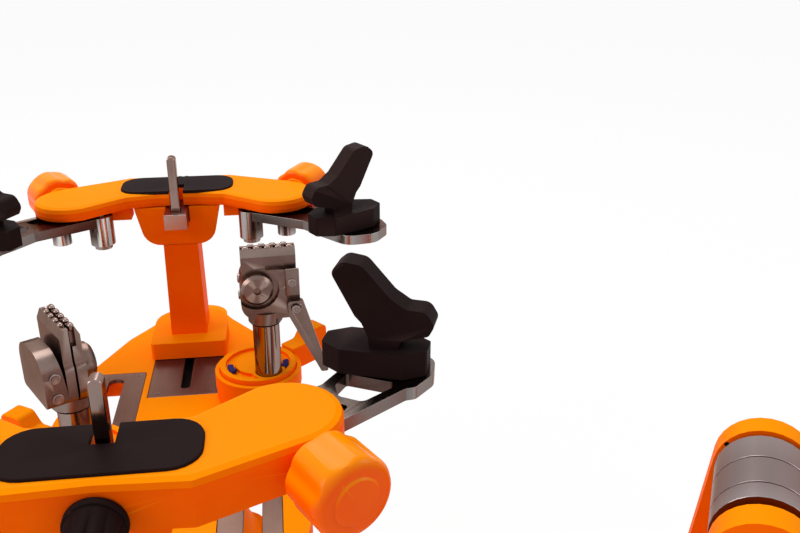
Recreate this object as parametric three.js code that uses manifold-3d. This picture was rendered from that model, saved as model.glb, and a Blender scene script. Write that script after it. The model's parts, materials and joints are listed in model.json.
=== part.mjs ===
// Racket stringing machine: a turntable with two towers and two string clamps on a pedestal,
// and a drop weight tension head at the end of a track.
// Millimetres, +Z up. The origin is on the table under the turntable's axis, +X runs along the
// track to the tension head. A tower's own frame has its origin at the middle of the crossbar's
// top, x along the crossbar, y towards the turntable's axis.
import * as THREE from 'three';
import { mergeVertices } from 'three/addons/utils/BufferGeometryUtils.js';
import Module from 'manifold-3d';

const wasm = await Module();
wasm.setup();

// Shared clearances and the fineness of the curves
const gap = 0.3;
const overrun = 2;
const mergeDistance = 0.001;
const arcSteps = 3;
const stepsPerLobe = 6;
const lobeSteps = 7;
const smallRoundSteps = 12;
const roundSteps = 22;
const largeRoundSteps = 30;

// Where the main pieces stand
const crossbarTop = 290;
const deckTop = 162;
const towerReach = 170;
const turntableTurn = 28.6;

// Turntable deck: half widths at distances along the towers' line
const deck = {
  thickness: 14, centreHalf: 84, centreReach: 60, waistHalf: 70, waistReach: 129, shoulderHalf: 49,
  shoulderReach: 175, neckHalf: 30, neckReach: 202, neckRadius: 9, bossHalf: 25, bossStart: 211,
  bossReach: 232, bossRadius: 18, centreRadius: 80, shoulderRadius: 40, windowHalf: 13,
  pocketHalf: 8.5, pocketFloor: 3,
};
const slotPlate = {
  inner: 30, outer: 67, reach: 121, thickness: 3, slotCentre: 50, slotWidth: 10.6, slotReach: 113,
  cornerRadius: 2,
};
const guidePlate = {
  width: 51, near: 84, far: 205, thickness: 3, slotWidth: 6.6, slotNear: 94, slotFar: 198,
};

// Bearing between pedestal and deck
const spindle = {
  radius: 12, flangeRadius: 30, flangeThickness: 5, length: 42,
};
const bearing = { innerRadius: 13, outerRadius: 32, height: 8 };
const pedestal = {
  length: 120, width: 176, cornerRadius: 22, topRadius: 36, shoulderRadius: 50, shoulderHeight: 104,
  footHeight: 30, towerLength: 92, towerWidth: 84, towerRadius: 16,
};
const track = {
  width: 50, height: 50, bottom: 45, start: -74, end: 424, wall: 5, lipWidth: 18,
};
const rubberPad = { thickness: 8, inset: 10 };
const endStand = {
  centre: 392, length: 50, width: 176, cornerRadius: 16,
};

// Crossbar on top of each tower; the ends are swept towards the turntable's axis
const crossbar = {
  thickness: 10.5, skirtHeight: 22, skirtWall: 6, outerEdge: 22.7, innerEdge: 18.9, shoulderX: 37,
  shoulderDrop: 2, lobeX: 72, lobeY: 19.8, lobeRadius: 25.7, sweep: 28, bendX: 34, bendY: 22.6,
  flatX: 15, notchWidth: 10, notchY: 2.6, lugNear: 33, lugFar: 50, lugY: 4, lugWidth: 13,
  lugHeight: 9, pinDepth: 5, edgeRadius: 3.5,
};
const pad = { length: 80, width: 35, thickness: 2.5, seatDepth: 1.5, radius: 13 };
const column = {
  headTopHalf: 30.5, headLowHalf: 24, headHeight: 29, headRadius: 13, width: 27, topWidth: 24.5,
  depth: 34, footWidth: 56, footHeight: 13.5, footY: 32, footBack: -28, footRadius: 3,
  footRearRadius: 22, channelWidth: 16.4, channelHeight: 12, studRadius: 2.9, nutRadius: 7.5,
  nutHeight: 5,
};

// Slider block with its rod, driven by the centre knob's screw
const slider = {
  width: 15.7, height: 11.3, length: 35, rodWidth: 6, rodDepth: 7, rodInset: 11.2, rodSeat: 5,
  rodTop: 29, rodRadius: 2.6, boreLength: 19.5, frontBack: -16.1, travel: 17,
};
const centreKnob = {
  axisDrop: 17, screwRadius: 3, screwTip: 3, flangeRadius: 12.5, flangeThickness: 4,
  gripRadius: 10.5, gripLength: 17, lobes: 10, lobeDepth: 1, wallGap: 0.8,
};

// Side arms, hinged below the crossbar, and the knobs that set them
const arm = {
  topGap: 0.7, railHeight: 6.6, hingeX: 52.5, hingeY: 28, bossRadius: 8.5, bossHeight: 21,
  reach: 94.5, spread: 65, seatShares: [0.688, 0.692], seatHeight: 8.2, spigotRadius: 5,
  seatRadius: 10, webDepth: 2, footShares: [0.27, 0.154], footRadius: 6.5, footHeight: 16,
};
// Corners of the arm's outline, of its window and of its sunk web, from the hinge: shares of the
// arm's reach, of its spread and, for the corner's radius, of its reach
const armOutlineShares = [
  [0, -0.117, 0], [0.397, -0.108, 0.063], [0.488, -0.014, 0], [0.804, 0.323, 0.032],
  [0.857, 0.335, 0.042], [0.968, 0.508, 0.095], [1, 0.708, 0.095], [0.894, 0.938, 0.127],
  [0.683, 0.985, 0.127], [0.503, 0.674, 0.032], [0.397, 0.462, 0.053], [0, 0.117, 0],
];
const armWindowShares = [
  [0.526, 0.588, 0.016], [0.75, 0.418, 0.016], [0.739, 0.349, 0.016], [0.583, 0.188, 0.042],
  [0.467, 0.289, 0.042], [0.462, 0.438, 0.021],
];
const armWebShares = [
  [0.164, -0.023, 0.021], [0.397, -0.023, 0.032], [0.476, 0.062, 0.011], [0.513, 0.145, 0.021],
  [0.397, 0.255, 0.032],
];
const armPin = { radius: 3, headRadius: 6.2, headHeight: 3 };
const endKnob = {
  axisDrop: 12, spindleRadius: 3.5, spindleInside: 9.5, wallGap: 1, neckRadius: 11.5,
  neckLength: 3, radius: 18.2, length: 30, edgeRadius: 4.5, backAngle: -60, faceRadius: 9.5,
  faceHeight: 1,
};

// Swivel support: a block with a two lobed hook on it
const support = {
  length: 52, width: 24.5, height: 13, endWidth: 11, chamfer: 10.5, spigotLength: 6.4,
  hookThickness: 12.5, hookReach: 25.6, hookHeight: 45, hookShift: -5, turn: 29, frontTurn: 20,
  cornerRadius: 2,
};
// Corners of the hook from the side, from its neck up the tall lobe and down the short one:
// shares of the hook's reach, of its height and, for the corner's radius, of its height
const hookShares = [
  [0.273, 0.022, 0], [0.297, 0.156, 0.111], [0.418, 0.313, 0.067], [0.547, 0.391, 0.067],
  [1, 0.878, 0.089], [0.762, 1, 0.111], [0.391, 0.969, 0.133], [-0.133, 0.627, 0.156],
  [-0.43, 0.516, 0.089], [-0.801, 0.511, 0.111], [-0.961, 0.356, 0.089], [-0.852, 0.231, 0.067],
  [-0.297, 0.138, 0.067], [-0.273, 0.022, 0],
];

// String clamps: a shoe under the slot plate, a round base with a locking ring, a post and a
// head. The base turns about its stem; its drum and its post stand off the stem on one line.
const clamp = {
  flangeRadius: 29.5, flangeHeight: 8, drumRadius: 26.5, drumTop: 24, drumOffset: 6.5,
  hubRadius: 16, grooveRadius: 22.5, grooveDepth: 2.5, bossWall: 2.4, postOffset: 21.4,
  postRadius: 9, boreDepth: 20, postSink: 16, postTop: 64, collarRadius: 11.5, collarHeight: 8,
  shoeWidth: 21, shoeHeight: 8, shoeNeck: 10, stemRadius: 3.6,
  ringRadius: 30, ringHeight: 12.4, leverReach: 60, leverWidth: 13, leverHeight: 17.5,
  tipHeight: 26, tipLength: 15, tipSlope: 6, tipRadius: 4,
};
const leftClamp = { baseY: -2.2, baseTurn: -82.5, leverTurn: 146, headTurn: 121 };
const rightClamp = { baseY: 87.6, baseTurn: -60, leverTurn: 40, headTurn: 4 };
const clampHead = {
  left: -15.5, right: 23, thickness: 9.5, outerThickness: 12, bodyTop: 39, domeRadius: 13,
  cornerRadius: 3, heelRadius: 11, jawGap: 1.2, jawThickness: 5, jawMargin: 1.5, jawTop: 52,
  slopeWidth: 2.2, slopeDrop: 5, gripHeight: 11, toothCount: 5, toothWidth: 4.4,
  toothDepth: 2.2, dialRadius: 10.6, dialHeight: 3, dialX: -4.7, dialZ: 26, dialRound: 2,
  ringWidth: 3.6, ringDepth: 3.4, socketRadius: 2.6, socketDepth: 1.4, pinRadius: 2.2,
  pinHeight: 1.2, highPinX: 18, highPinZ: 29.5, pivotX: 19.5, pivotZ: 12.8, pivotRadius: 3,
  handleWidth: 10, handleEndWidth: 5, handleReach: 18, handleDrop: 49, handleThickness: 5,
  wedgeWidth: 3, wedgeBottom: 13, rivetInset: 5.4,
};

// Tension head on the far end of the track
const head = {
  x: 335, axisHeight: 226, drumRadius: 23.5, ringWidths: [18.4, 20.8, 11.5], grooveDepth: 0.8,
  grooveWidth: 0.8, drumBack: 23.1, backGap: 3, backThickness: 12.5, backRadius: 24.3,
  frontGap: 5.3, frontThickness: 14, frontRadius: 23.2, flare: 6, cheekBottom: 105, baseHeight: 16,
  axleRadius: 6, axleHeadRadius: 10, axleHeadHeight: 4, saddleBottom: 95.3, skirtBottom: 72,
  skirtThickness: 7,
};
const weightRod = {
  radius: 6, length: 205, socketDepth: 12, socketRadius: 9, capRadius: 8, capLength: 6,
};
const weight = { radius: 33, length: 42, start: 130, chamfer: 3 };
const gripper = { length: 22, width: 26, thickness: 5, cornerRadius: 1.5 };

const finishes = {
  orangePaint: { color: 0xff7a00, roughness: 0.35, metalness: 0 },
  blackPlastic: { color: 0x241c1c, roughness: 0.55, metalness: 0 },
  chrome: { color: 0xb8b0ac, roughness: 0.18, metalness: 1 },
  steel: { color: 0x9a9694, roughness: 0.4, metalness: 1 },
  rubber: { color: 0x1d1b1b, roughness: 0.85, metalness: 0 },
};

const degrees = THREE.MathUtils.degToRad;

// Solids: every piece is a closed geometry, joined and cut as solids where it needs that

function toSolid(geometry) {
  const bare = geometry.clone();
  bare.deleteAttribute('normal');
  bare.deleteAttribute('uv');
  const merged = mergeVertices(bare, mergeDistance);
  return new wasm.Manifold(new wasm.Mesh({
    numProp: 3,
    vertProperties: merged.attributes.position.array,
    triVerts: new Uint32Array(merged.index.array),
  }));
}

function toGeometry(solid) {
  const mesh = solid.getMesh();
  const geometry = new THREE.BufferGeometry();
  geometry.setAttribute('position', new THREE.BufferAttribute(new Float32Array(mesh.vertProperties), 3));
  geometry.setIndex(new THREE.BufferAttribute(new Uint32Array(mesh.triVerts), 1));
  geometry.computeVertexNormals();
  return geometry;
}

function join(first, ...others) {
  return toGeometry(others.reduce((sum, next) => sum.add(toSolid(next)), toSolid(first)));
}

function cut(body, ...tools) {
  return toGeometry(tools.reduce((rest, tool) => rest.subtract(toSolid(tool)), toSolid(body)));
}

function sorted(a, b) {
  return a < b ? [a, b] : [b, a];
}

// A box from its lowest to its highest corner
function block(low, high) {
  const [width, depth, height] = high.map((value, i) => value - low[i]);
  const geometry = new THREE.BoxGeometry(width, depth, height);
  return geometry.translate((low[0] + high[0]) / 2, (low[1] + high[1]) / 2, (low[2] + high[2]) / 2);
}

// A closed outline through corners given as x, y and the radius that rounds them. It starts at
// a rounded corner where there is one, because a path drops a first point that an arc follows
function outline(given) {
  const first = Math.max(given.findIndex(([, , radius]) => radius), 0);
  const corners = [...given.slice(first), ...given.slice(0, first)];
  const shape = new THREE.Shape();
  const count = corners.length;
  corners.forEach(([x, y, radius], i) => {
    const here = new THREE.Vector2(x, y);
    const back = new THREE.Vector2(...corners[(i + count - 1) % count]).sub(here).normalize();
    const ahead = new THREE.Vector2(...corners[(i + 1) % count]).sub(here).normalize();
    const half = Math.acos(THREE.MathUtils.clamp(back.dot(ahead), -1, 1)) / 2;
    if (!radius) {
      if (i === 0) shape.moveTo(x, y);
      else shape.lineTo(x, y);
      return;
    }
    const centre = back.clone().add(ahead).normalize().multiplyScalar(radius / Math.sin(half)).add(here);
    const start = back.clone().multiplyScalar(radius / Math.tan(half)).add(here).sub(centre);
    const end = ahead.clone().multiplyScalar(radius / Math.tan(half)).add(here).sub(centre);
    const clockwise = back.cross(ahead) > 0;
    if (i === 0) shape.moveTo(centre.x + start.x, centre.y + start.y);
    shape.absarc(centre.x, centre.y, radius, start.angle(), end.angle(), clockwise);
  });
  shape.closePath();
  return shape;
}

// A rectangle between two corners, rounded by one radius
function slab(low, high, radius) {
  return outline([
    [low[0], low[1], radius], [high[0], low[1], radius], [high[0], high[1], radius],
    [low[0], high[1], radius],
  ]);
}

// An outline carried up from one height to another
function raised(shape, bottom, top, steps = arcSteps) {
  const geometry = new THREE.ExtrudeGeometry(shape, {
    depth: top - bottom, bevelEnabled: false, curveSegments: steps,
  });
  return geometry.translate(0, 0, bottom);
}

// The same with the upper and lower edges rounded off
function rounded(shape, bottom, top, radius, steps = arcSteps) {
  const geometry = new THREE.ExtrudeGeometry(shape, {
    depth: top - bottom - radius * 2, bevelThickness: radius, bevelSize: radius,
    bevelOffset: -radius, bevelSegments: 2, curveSegments: steps,
  });
  return geometry.translate(0, 0, bottom + radius);
}

// An outline drawn in x and z, carried along y
function across(shape, near, far, steps = arcSteps) {
  const geometry = new THREE.ExtrudeGeometry(shape, {
    depth: far - near, bevelEnabled: false, curveSegments: steps,
  });
  return geometry.rotateX(Math.PI / 2).translate(0, far, 0);
}

// An upright cylinder
function upright(radius, bottom, top, steps = roundSteps) {
  const geometry = new THREE.CylinderGeometry(radius, radius, top - bottom, steps);
  return geometry.rotateX(Math.PI / 2).translate(0, 0, (top + bottom) / 2);
}

// A cylinder along y
function alongY(radius, near, far, steps = roundSteps) {
  const geometry = new THREE.CylinderGeometry(radius, radius, far - near, steps);
  return geometry.translate(0, (far + near) / 2, 0);
}

// A turned shape: a profile of radius and height, spun about z
function turned(profile, steps = roundSteps) {
  const points = profile.map(([radius, height]) => new THREE.Vector2(radius, height));
  return new THREE.LatheGeometry(points, steps).rotateX(Math.PI / 2);
}

// Turntable deck

function deckOutline() {
  const right = [
    [deck.centreHalf, -deck.centreReach], [deck.centreHalf, deck.centreReach],
    [deck.waistHalf, deck.waistReach], [deck.shoulderHalf, deck.shoulderReach],
    [deck.neckHalf, deck.neckReach], [deck.bossHalf, deck.bossStart],
    [deck.bossHalf, deck.bossReach],
  ];
  const radii = [
    deck.centreRadius, deck.centreRadius, deck.shoulderRadius, deck.shoulderRadius,
    deck.neckRadius, deck.neckRadius, deck.bossRadius,
  ];
  const rising = right.slice(1).map(([x, y], i) => [x, y, radii[i + 1]]);
  const far = [...rising, ...rising.map(([x, y, radius]) => [-x, y, radius]).reverse()];
  const near = far.map(([x, y, radius]) => [-x, -y, radius]);
  return outline([...far, ...near]);
}

function turntableDeck() {
  const bottom = deckTop - deck.thickness;
  const plateSeats = [-1, 1].flatMap((side) => {
    const [low, high] = sorted(side * slotPlate.inner, side * slotPlate.outer);
    const seat = slab(
      [low - gap, -slotPlate.reach - gap], [high + gap, slotPlate.reach + gap], slotPlate.cornerRadius,
    );
    const window = slab(
      [side * slotPlate.slotCentre - deck.windowHalf, -slotPlate.slotReach],
      [side * slotPlate.slotCentre + deck.windowHalf, slotPlate.slotReach], slotPlate.cornerRadius,
    );
    return [
      raised(seat, deckTop - slotPlate.thickness - gap, deckTop + overrun),
      raised(window, bottom - overrun, deckTop + overrun),
    ];
  });
  const guideSeats = [-1, 1].flatMap((side) => {
    const [low, high] = sorted(side * (guidePlate.near - gap), side * (guidePlate.far + gap));
    const [pocketLow, pocketHigh] = sorted(side * guidePlate.slotNear, side * guidePlate.slotFar);
    return [
      block(
        [-guidePlate.width / 2 - gap, low, deckTop - guidePlate.thickness - gap],
        [guidePlate.width / 2 + gap, high, deckTop + overrun],
      ),
      block(
        [-deck.pocketHalf, pocketLow, bottom + deck.pocketFloor],
        [deck.pocketHalf, pocketHigh, deckTop],
      ),
    ];
  });
  return cut(raised(deckOutline(), bottom, deckTop, lobeSteps), ...plateSeats, ...guideSeats);
}

function slottedPlate(side) {
  const [low, high] = sorted(side * slotPlate.inner, side * slotPlate.outer);
  const centre = side * slotPlate.slotCentre;
  const plate = slab([low, -slotPlate.reach], [high, slotPlate.reach], slotPlate.cornerRadius);
  const slot = slab(
    [centre - slotPlate.slotWidth / 2, -slotPlate.slotReach],
    [centre + slotPlate.slotWidth / 2, slotPlate.slotReach], slotPlate.slotWidth / 2 - gap,
  );
  plate.holes.push(slot);
  return raised(plate, deckTop - slotPlate.thickness, deckTop);
}

function towerGuidePlate() {
  const plate = slab(
    [-guidePlate.width / 2, guidePlate.near], [guidePlate.width / 2, guidePlate.far],
    slotPlate.cornerRadius,
  );
  const slot = slab(
    [-guidePlate.slotWidth / 2, guidePlate.slotNear], [guidePlate.slotWidth / 2, guidePlate.slotFar],
    guidePlate.slotWidth / 2 - gap,
  );
  plate.holes.push(slot);
  return raised(plate, deckTop - guidePlate.thickness, deckTop);
}

// Pedestal, bearing and track

function turntableSpindle() {
  const top = deckTop - deck.thickness - gap;
  const shoulder = top - spindle.flangeThickness;
  return turned([
    [0, top - spindle.length], [spindle.radius, top - spindle.length], [spindle.radius, shoulder],
    [spindle.flangeRadius, shoulder], [spindle.flangeRadius, top], [0, top],
  ]);
}

function bearingRing() {
  const top = deckTop - deck.thickness - spindle.flangeThickness - gap * 2;
  const bottom = top - bearing.height;
  return turned([
    [bearing.innerRadius, bottom], [bearing.outerRadius, bottom], [bearing.outerRadius, top],
    [bearing.innerRadius, top], [bearing.innerRadius, bottom],
  ]);
}

function pedestalCasting() {
  const top = deckTop - deck.thickness - spindle.flangeThickness - bearing.height - gap * 3;
  const foot = slab(
    [-pedestal.length / 2, -pedestal.width / 2], [pedestal.length / 2, pedestal.width / 2],
    pedestal.cornerRadius,
  );
  const tower = slab(
    [-pedestal.towerLength / 2, -pedestal.towerWidth / 2],
    [pedestal.towerLength / 2, pedestal.towerWidth / 2], pedestal.towerRadius,
  );
  const dome = turned([
    [0, pedestal.footHeight], [pedestal.shoulderRadius, pedestal.footHeight],
    [pedestal.shoulderRadius, pedestal.shoulderHeight], [pedestal.topRadius, top], [0, top],
  ], largeRoundSteps);
  const tunnel = block(
    [-pedestal.length, -track.width / 2 - gap, track.bottom - gap],
    [pedestal.length, track.width / 2 + gap, track.bottom + track.height + gap],
  );
  const spindleBore = upright(spindle.radius + gap, track.bottom + track.height, top + overrun);
  const whole = join(
    raised(foot, rubberPad.thickness + gap, pedestal.footHeight),
    raised(tower, pedestal.footHeight - overrun, pedestal.shoulderHeight), dome,
  );
  return cut(whole, tunnel, spindleBore);
}

function pedestalPad() {
  const halfLength = pedestal.length / 2 - rubberPad.inset;
  const halfWidth = pedestal.width / 2 - rubberPad.inset;
  return raised(
    slab([-halfLength, -halfWidth], [halfLength, halfWidth], pedestal.cornerRadius - rubberPad.inset),
    0, rubberPad.thickness,
  );
}

// The track is a channel that opens upwards between two lips
function trackBeam() {
  const top = track.bottom + track.height;
  const beam = block([track.start, -track.width / 2, track.bottom], [track.end, track.width / 2, top]);
  const hollow = block(
    [track.start - overrun, -track.width / 2 + track.wall, track.bottom + track.wall],
    [track.end + overrun, track.width / 2 - track.wall, top - track.wall],
  );
  const mouth = block(
    [track.start - overrun, -track.lipWidth / 2, top - track.wall - overrun],
    [track.end + overrun, track.lipWidth / 2, top + overrun],
  );
  return cut(beam, hollow, mouth);
}

function endStandCasting() {
  const foot = slab(
    [-endStand.length / 2, -endStand.width / 2], [endStand.length / 2, endStand.width / 2],
    endStand.cornerRadius,
  );
  return raised(foot, rubberPad.thickness + gap, track.bottom - gap).translate(endStand.centre, 0, 0);
}

function endStandPad() {
  const halfLength = endStand.length / 2 - rubberPad.inset;
  const halfWidth = endStand.width / 2 - rubberPad.inset;
  const radius = endStand.cornerRadius - rubberPad.inset;
  return raised(slab([-halfLength, -halfWidth], [halfLength, halfWidth], radius), 0, rubberPad.thickness)
    .translate(endStand.centre, 0, 0);
}

// Towers

function crossbarOutline() {
  const shape = new THREE.Shape();
  const outward = degrees(crossbar.sweep - 90);
  const inward = degrees(crossbar.sweep + 90);
  shape.moveTo(-crossbar.shoulderX, -crossbar.outerEdge - crossbar.shoulderDrop);
  shape.lineTo(0, -crossbar.outerEdge);
  shape.lineTo(crossbar.shoulderX, -crossbar.outerEdge - crossbar.shoulderDrop);
  shape.absarc(crossbar.lobeX, crossbar.lobeY, crossbar.lobeRadius, outward, inward);
  shape.lineTo(crossbar.bendX, crossbar.bendY);
  shape.lineTo(crossbar.flatX, crossbar.innerEdge);
  shape.lineTo(-crossbar.flatX, crossbar.innerEdge);
  shape.lineTo(-crossbar.bendX, crossbar.bendY);
  shape.absarc(-crossbar.lobeX, crossbar.lobeY, crossbar.lobeRadius, Math.PI - inward, Math.PI - outward);
  shape.closePath();
  return shape;
}

// Where an end knob's axis leaves the crossbar's lobe, as seen from above
function endKnobPlace(side) {
  const angle = degrees(crossbar.sweep - 90);
  const direction = new THREE.Vector3(side * Math.cos(angle), Math.sin(angle), 0);
  const wall = new THREE.Vector3(side * crossbar.lobeX, crossbar.lobeY, -endKnob.axisDrop)
    .addScaledVector(direction, crossbar.lobeRadius);
  return { direction, wall };
}

// Turns a piece that was made along +y to lie along a level direction
function aimed(geometry, direction, place) {
  const turn = new THREE.Quaternion().setFromUnitVectors(new THREE.Vector3(0, 1, 0), direction);
  return geometry.applyQuaternion(turn).translate(place.x, place.y, place.z);
}

function padOutline(margin) {
  const halfLength = pad.length / 2 + margin;
  const halfWidth = pad.width / 2 + margin;
  return slab([-halfLength, -halfWidth], [halfLength, halfWidth], pad.radius + margin);
}

function notch(bottom, top) {
  return block(
    [-crossbar.notchWidth / 2, crossbar.notchY, bottom],
    [crossbar.notchWidth / 2, crossbar.innerEdge + overrun, top],
  );
}

function towerCrossbar() {
  const shape = crossbarOutline();
  const plate = rounded(shape, -crossbar.thickness, 0, crossbar.edgeRadius, lobeSteps);
  const skirt = cut(
    raised(shape, -crossbar.skirtHeight, -crossbar.thickness / 2, lobeSteps),
    raised(shape, -crossbar.skirtHeight - overrun, 0, lobeSteps).translate(0, crossbar.skirtWall, 0),
  );
  const lugs = [-1, 1].map((side) => {
    const [low, high] = sorted(side * crossbar.lugNear, side * crossbar.lugFar);
    return block(
      [low, crossbar.lugY, -crossbar.thickness - crossbar.lugHeight],
      [high, crossbar.lugY + crossbar.lugWidth, -crossbar.thickness / 2],
    );
  });
  const pinHoles = [-1, 1].map((side) => upright(
    armPin.radius + gap, -crossbar.thickness - overrun, -crossbar.thickness + crossbar.pinDepth,
    smallRoundSteps,
  ).translate(side * arm.hingeX, arm.hingeY, 0));
  const knobHoles = [-1, 1].map((side) => {
    const { direction, wall } = endKnobPlace(side);
    const bore = alongY(
      endKnob.spindleRadius + gap, -endKnob.spindleInside - overrun, overrun, smallRoundSteps,
    );
    return aimed(bore, direction, wall);
  });
  const screwHole = alongY(
    centreKnob.screwRadius + gap, -crossbar.outerEdge - crossbar.skirtWall,
    -crossbar.outerEdge + crossbar.skirtWall + overrun, smallRoundSteps,
  ).translate(0, 0, -centreKnob.axisDrop);
  return cut(
    join(plate, skirt, ...lugs), raised(padOutline(gap), -pad.seatDepth, overrun),
    notch(-crossbar.thickness - overrun, overrun), ...pinHoles, ...knobHoles, screwHole,
  );
}

function crossbarPad() {
  const bottom = -pad.seatDepth + gap;
  const plate = raised(padOutline(0), bottom, bottom + pad.thickness);
  return cut(plate, notch(bottom - overrun, bottom + pad.thickness + overrun));
}

function towerColumn() {
  const top = -crossbar.thickness - gap;
  const front = crossbar.innerEdge - gap;
  const back = front - column.depth;
  const foot = deckTop - crossbarTop + gap;
  const headShape = outline([
    [-column.headTopHalf, top, 0], [-column.headLowHalf, top - column.headHeight, column.headRadius],
    [column.headLowHalf, top - column.headHeight, column.headRadius], [column.headTopHalf, top, 0],
  ]);
  const shaftTop = top - column.headHeight + column.headRadius / 2;
  const shaftShape = outline([
    [-column.width / 2, foot + column.footHeight / 2, 0],
    [column.width / 2, foot + column.footHeight / 2, 0],
    [column.topWidth / 2, shaftTop, 0], [-column.topWidth / 2, shaftTop, 0],
  ]);
  const shaft = across(shaftShape, back + column.footRadius, front - gap);
  const footHalf = column.footWidth / 2;
  const footShape = outline([
    [footHalf, column.footY, column.footRadius], [-footHalf, column.footY, column.footRadius],
    [-footHalf, column.footBack, column.footRearRadius],
    [footHalf, column.footBack, column.footRearRadius],
  ]);
  const channel = block(
    [-column.channelWidth / 2, back - overrun, top - column.channelHeight],
    [column.channelWidth / 2, front + overrun, top + overrun],
  );
  const nutTop = foot - guidePlate.thickness - gap * 3;
  const nutBottom = nutTop - column.nutHeight;
  const stud = upright(column.studRadius, nutBottom, foot + overrun, smallRoundSteps);
  const nut = upright(column.nutRadius, nutBottom, nutTop, smallRoundSteps);
  const headBlock = across(headShape, back, front);
  const footBlock = raised(footShape, foot, foot + column.footHeight);
  return cut(join(headBlock, shaft, footBlock, stud, nut), channel);
}

function sliderBlock() {
  const top = -crossbar.thickness - gap;
  const back = slider.frontBack;
  const front = back + slider.length;
  const rodY = front - slider.rodInset;
  const body = block([-slider.width / 2, back, top - slider.height], [slider.width / 2, front, top]);
  const bore = alongY(
    centreKnob.screwRadius + gap, back - overrun, back + slider.boreLength, smallRoundSteps,
  ).translate(0, 0, -centreKnob.axisDrop);
  const rodSeat = block(
    [-slider.rodWidth / 2 - gap, rodY - slider.rodDepth / 2 - gap, top - slider.rodSeat],
    [slider.rodWidth / 2 + gap, rodY + slider.rodDepth / 2 + gap, top + overrun],
  );
  return cut(body, bore, rodSeat);
}

function supportRod() {
  const half = slider.rodWidth / 2;
  const bottom = -crossbar.thickness - slider.rodSeat;
  const rodY = slider.frontBack + slider.length - slider.rodInset;
  const side = outline([
    [-half, bottom, 0], [half, bottom, 0], [half, slider.rodTop, slider.rodRadius],
    [-half, slider.rodTop, slider.rodRadius],
  ]);
  return across(side, rodY - slider.rodDepth / 2, rodY + slider.rodDepth / 2);
}

// A round outline whose radius swells and shrinks once for each lobe
function lobedOutline(radius, depth, lobes, steps) {
  const points = Array.from({ length: steps }, (_, i) => {
    const angle = (i / steps) * Math.PI * 2;
    const reach = radius + depth * Math.cos(angle * lobes);
    return new THREE.Vector2(reach * Math.cos(angle), reach * Math.sin(angle));
  });
  return new THREE.Shape(points);
}

function towerCentreKnob() {
  const wall = -crossbar.outerEdge - centreKnob.wallGap;
  const flangeEnd = wall - centreKnob.flangeThickness;
  const gripShape = lobedOutline(
    centreKnob.gripRadius, centreKnob.lobeDepth, centreKnob.lobes, centreKnob.lobes * stepsPerLobe,
  );
  const flangeMiddle = wall - centreKnob.flangeThickness / 2;
  return join(
    alongY(centreKnob.screwRadius, flangeMiddle, centreKnob.screwTip, smallRoundSteps),
    alongY(centreKnob.flangeRadius, flangeEnd, wall),
    across(gripShape, flangeEnd - centreKnob.gripLength, flangeMiddle),
  ).translate(0, 0, -centreKnob.axisDrop);
}

function towerEndKnob(side) {
  const { direction, wall } = endKnobPlace(side);
  const { edgeRadius, faceHeight } = endKnob;
  const rim = endKnob.radius - edgeRadius;
  const arc = (height, from, to) => Array.from({ length: arcSteps + 1 }, (_, i) => {
    const angle = degrees(from + ((to - from) * i) / arcSteps);
    return [rim + edgeRadius * Math.cos(angle), height + edgeRadius * Math.sin(angle)];
  });
  const start = endKnob.wallGap;
  const neckEnd = start + endKnob.neckLength;
  const end = start + endKnob.length;
  const profile = [
    [0, -endKnob.spindleInside], [endKnob.spindleRadius, -endKnob.spindleInside],
    [endKnob.spindleRadius, start], [endKnob.neckRadius, start], [endKnob.neckRadius, neckEnd],
    ...arc(neckEnd + edgeRadius, endKnob.backAngle, 0), ...arc(end - edgeRadius, 0, 90),
    [endKnob.faceRadius, end], [endKnob.faceRadius - faceHeight, end + faceHeight],
    [0, end + faceHeight],
  ];
  const points = profile.map(([radius, height]) => new THREE.Vector2(radius, height));
  return aimed(new THREE.LatheGeometry(points, roundSteps), direction, wall);
}

const armTop = -crossbar.thickness - arm.topGap;
const armSeat = {
  x: arm.hingeX + arm.reach * arm.seatShares[0], y: arm.hingeY + arm.spread * arm.seatShares[1],
};

function armShape(shares, side) {
  return outline(shares.map(([x, y, radius]) => [
    side * (arm.hingeX + arm.reach * x), arm.hingeY + arm.spread * y, arm.reach * radius,
  ]));
}

function sideArm(side) {
  const below = armTop - arm.bossHeight;
  const railBottom = armTop - arm.railHeight;
  const hingeX = side * arm.hingeX;
  const seatX = side * armSeat.x;
  const footX = side * (arm.hingeX + arm.reach * arm.footShares[0]);
  const footY = arm.hingeY + arm.spread * arm.footShares[1];
  const plate = raised(armShape(armOutlineShares, side), railBottom, armTop);
  const boss = upright(arm.bossRadius, below, armTop).translate(hingeX, arm.hingeY, 0);
  const seat = upright(arm.seatRadius, armTop - arm.seatHeight, armTop).translate(seatX, armSeat.y, 0);
  const footTop = armTop - arm.railHeight / 2;
  const foot = upright(arm.footRadius, armTop - arm.footHeight, footTop, smallRoundSteps);
  const window = raised(armShape(armWindowShares, side), below - overrun, armTop + overrun);
  const web = raised(armShape(armWebShares, side), armTop - arm.webDepth, armTop + overrun);
  const pinBore = upright(armPin.radius + gap, below - overrun, armTop + overrun, smallRoundSteps);
  const seatBore = upright(
    arm.spigotRadius + gap, armTop - arm.seatHeight - overrun, armTop + overrun, smallRoundSteps,
  );
  return cut(
    join(plate, boss, seat, foot.translate(footX, footY, 0)), window, web,
    pinBore.translate(hingeX, arm.hingeY, 0), seatBore.translate(seatX, armSeat.y, 0),
  );
}

function sideArmPin(side) {
  const bottom = armTop - arm.bossHeight - gap;
  const tip = -crossbar.thickness + crossbar.pinDepth - gap;
  return turned([
    [0, bottom - armPin.headHeight], [armPin.headRadius, bottom - armPin.headHeight],
    [armPin.headRadius, bottom], [armPin.radius, bottom], [armPin.radius, tip], [0, tip],
  ], smallRoundSteps).translate(side * arm.hingeX, arm.hingeY, 0);
}

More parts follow.
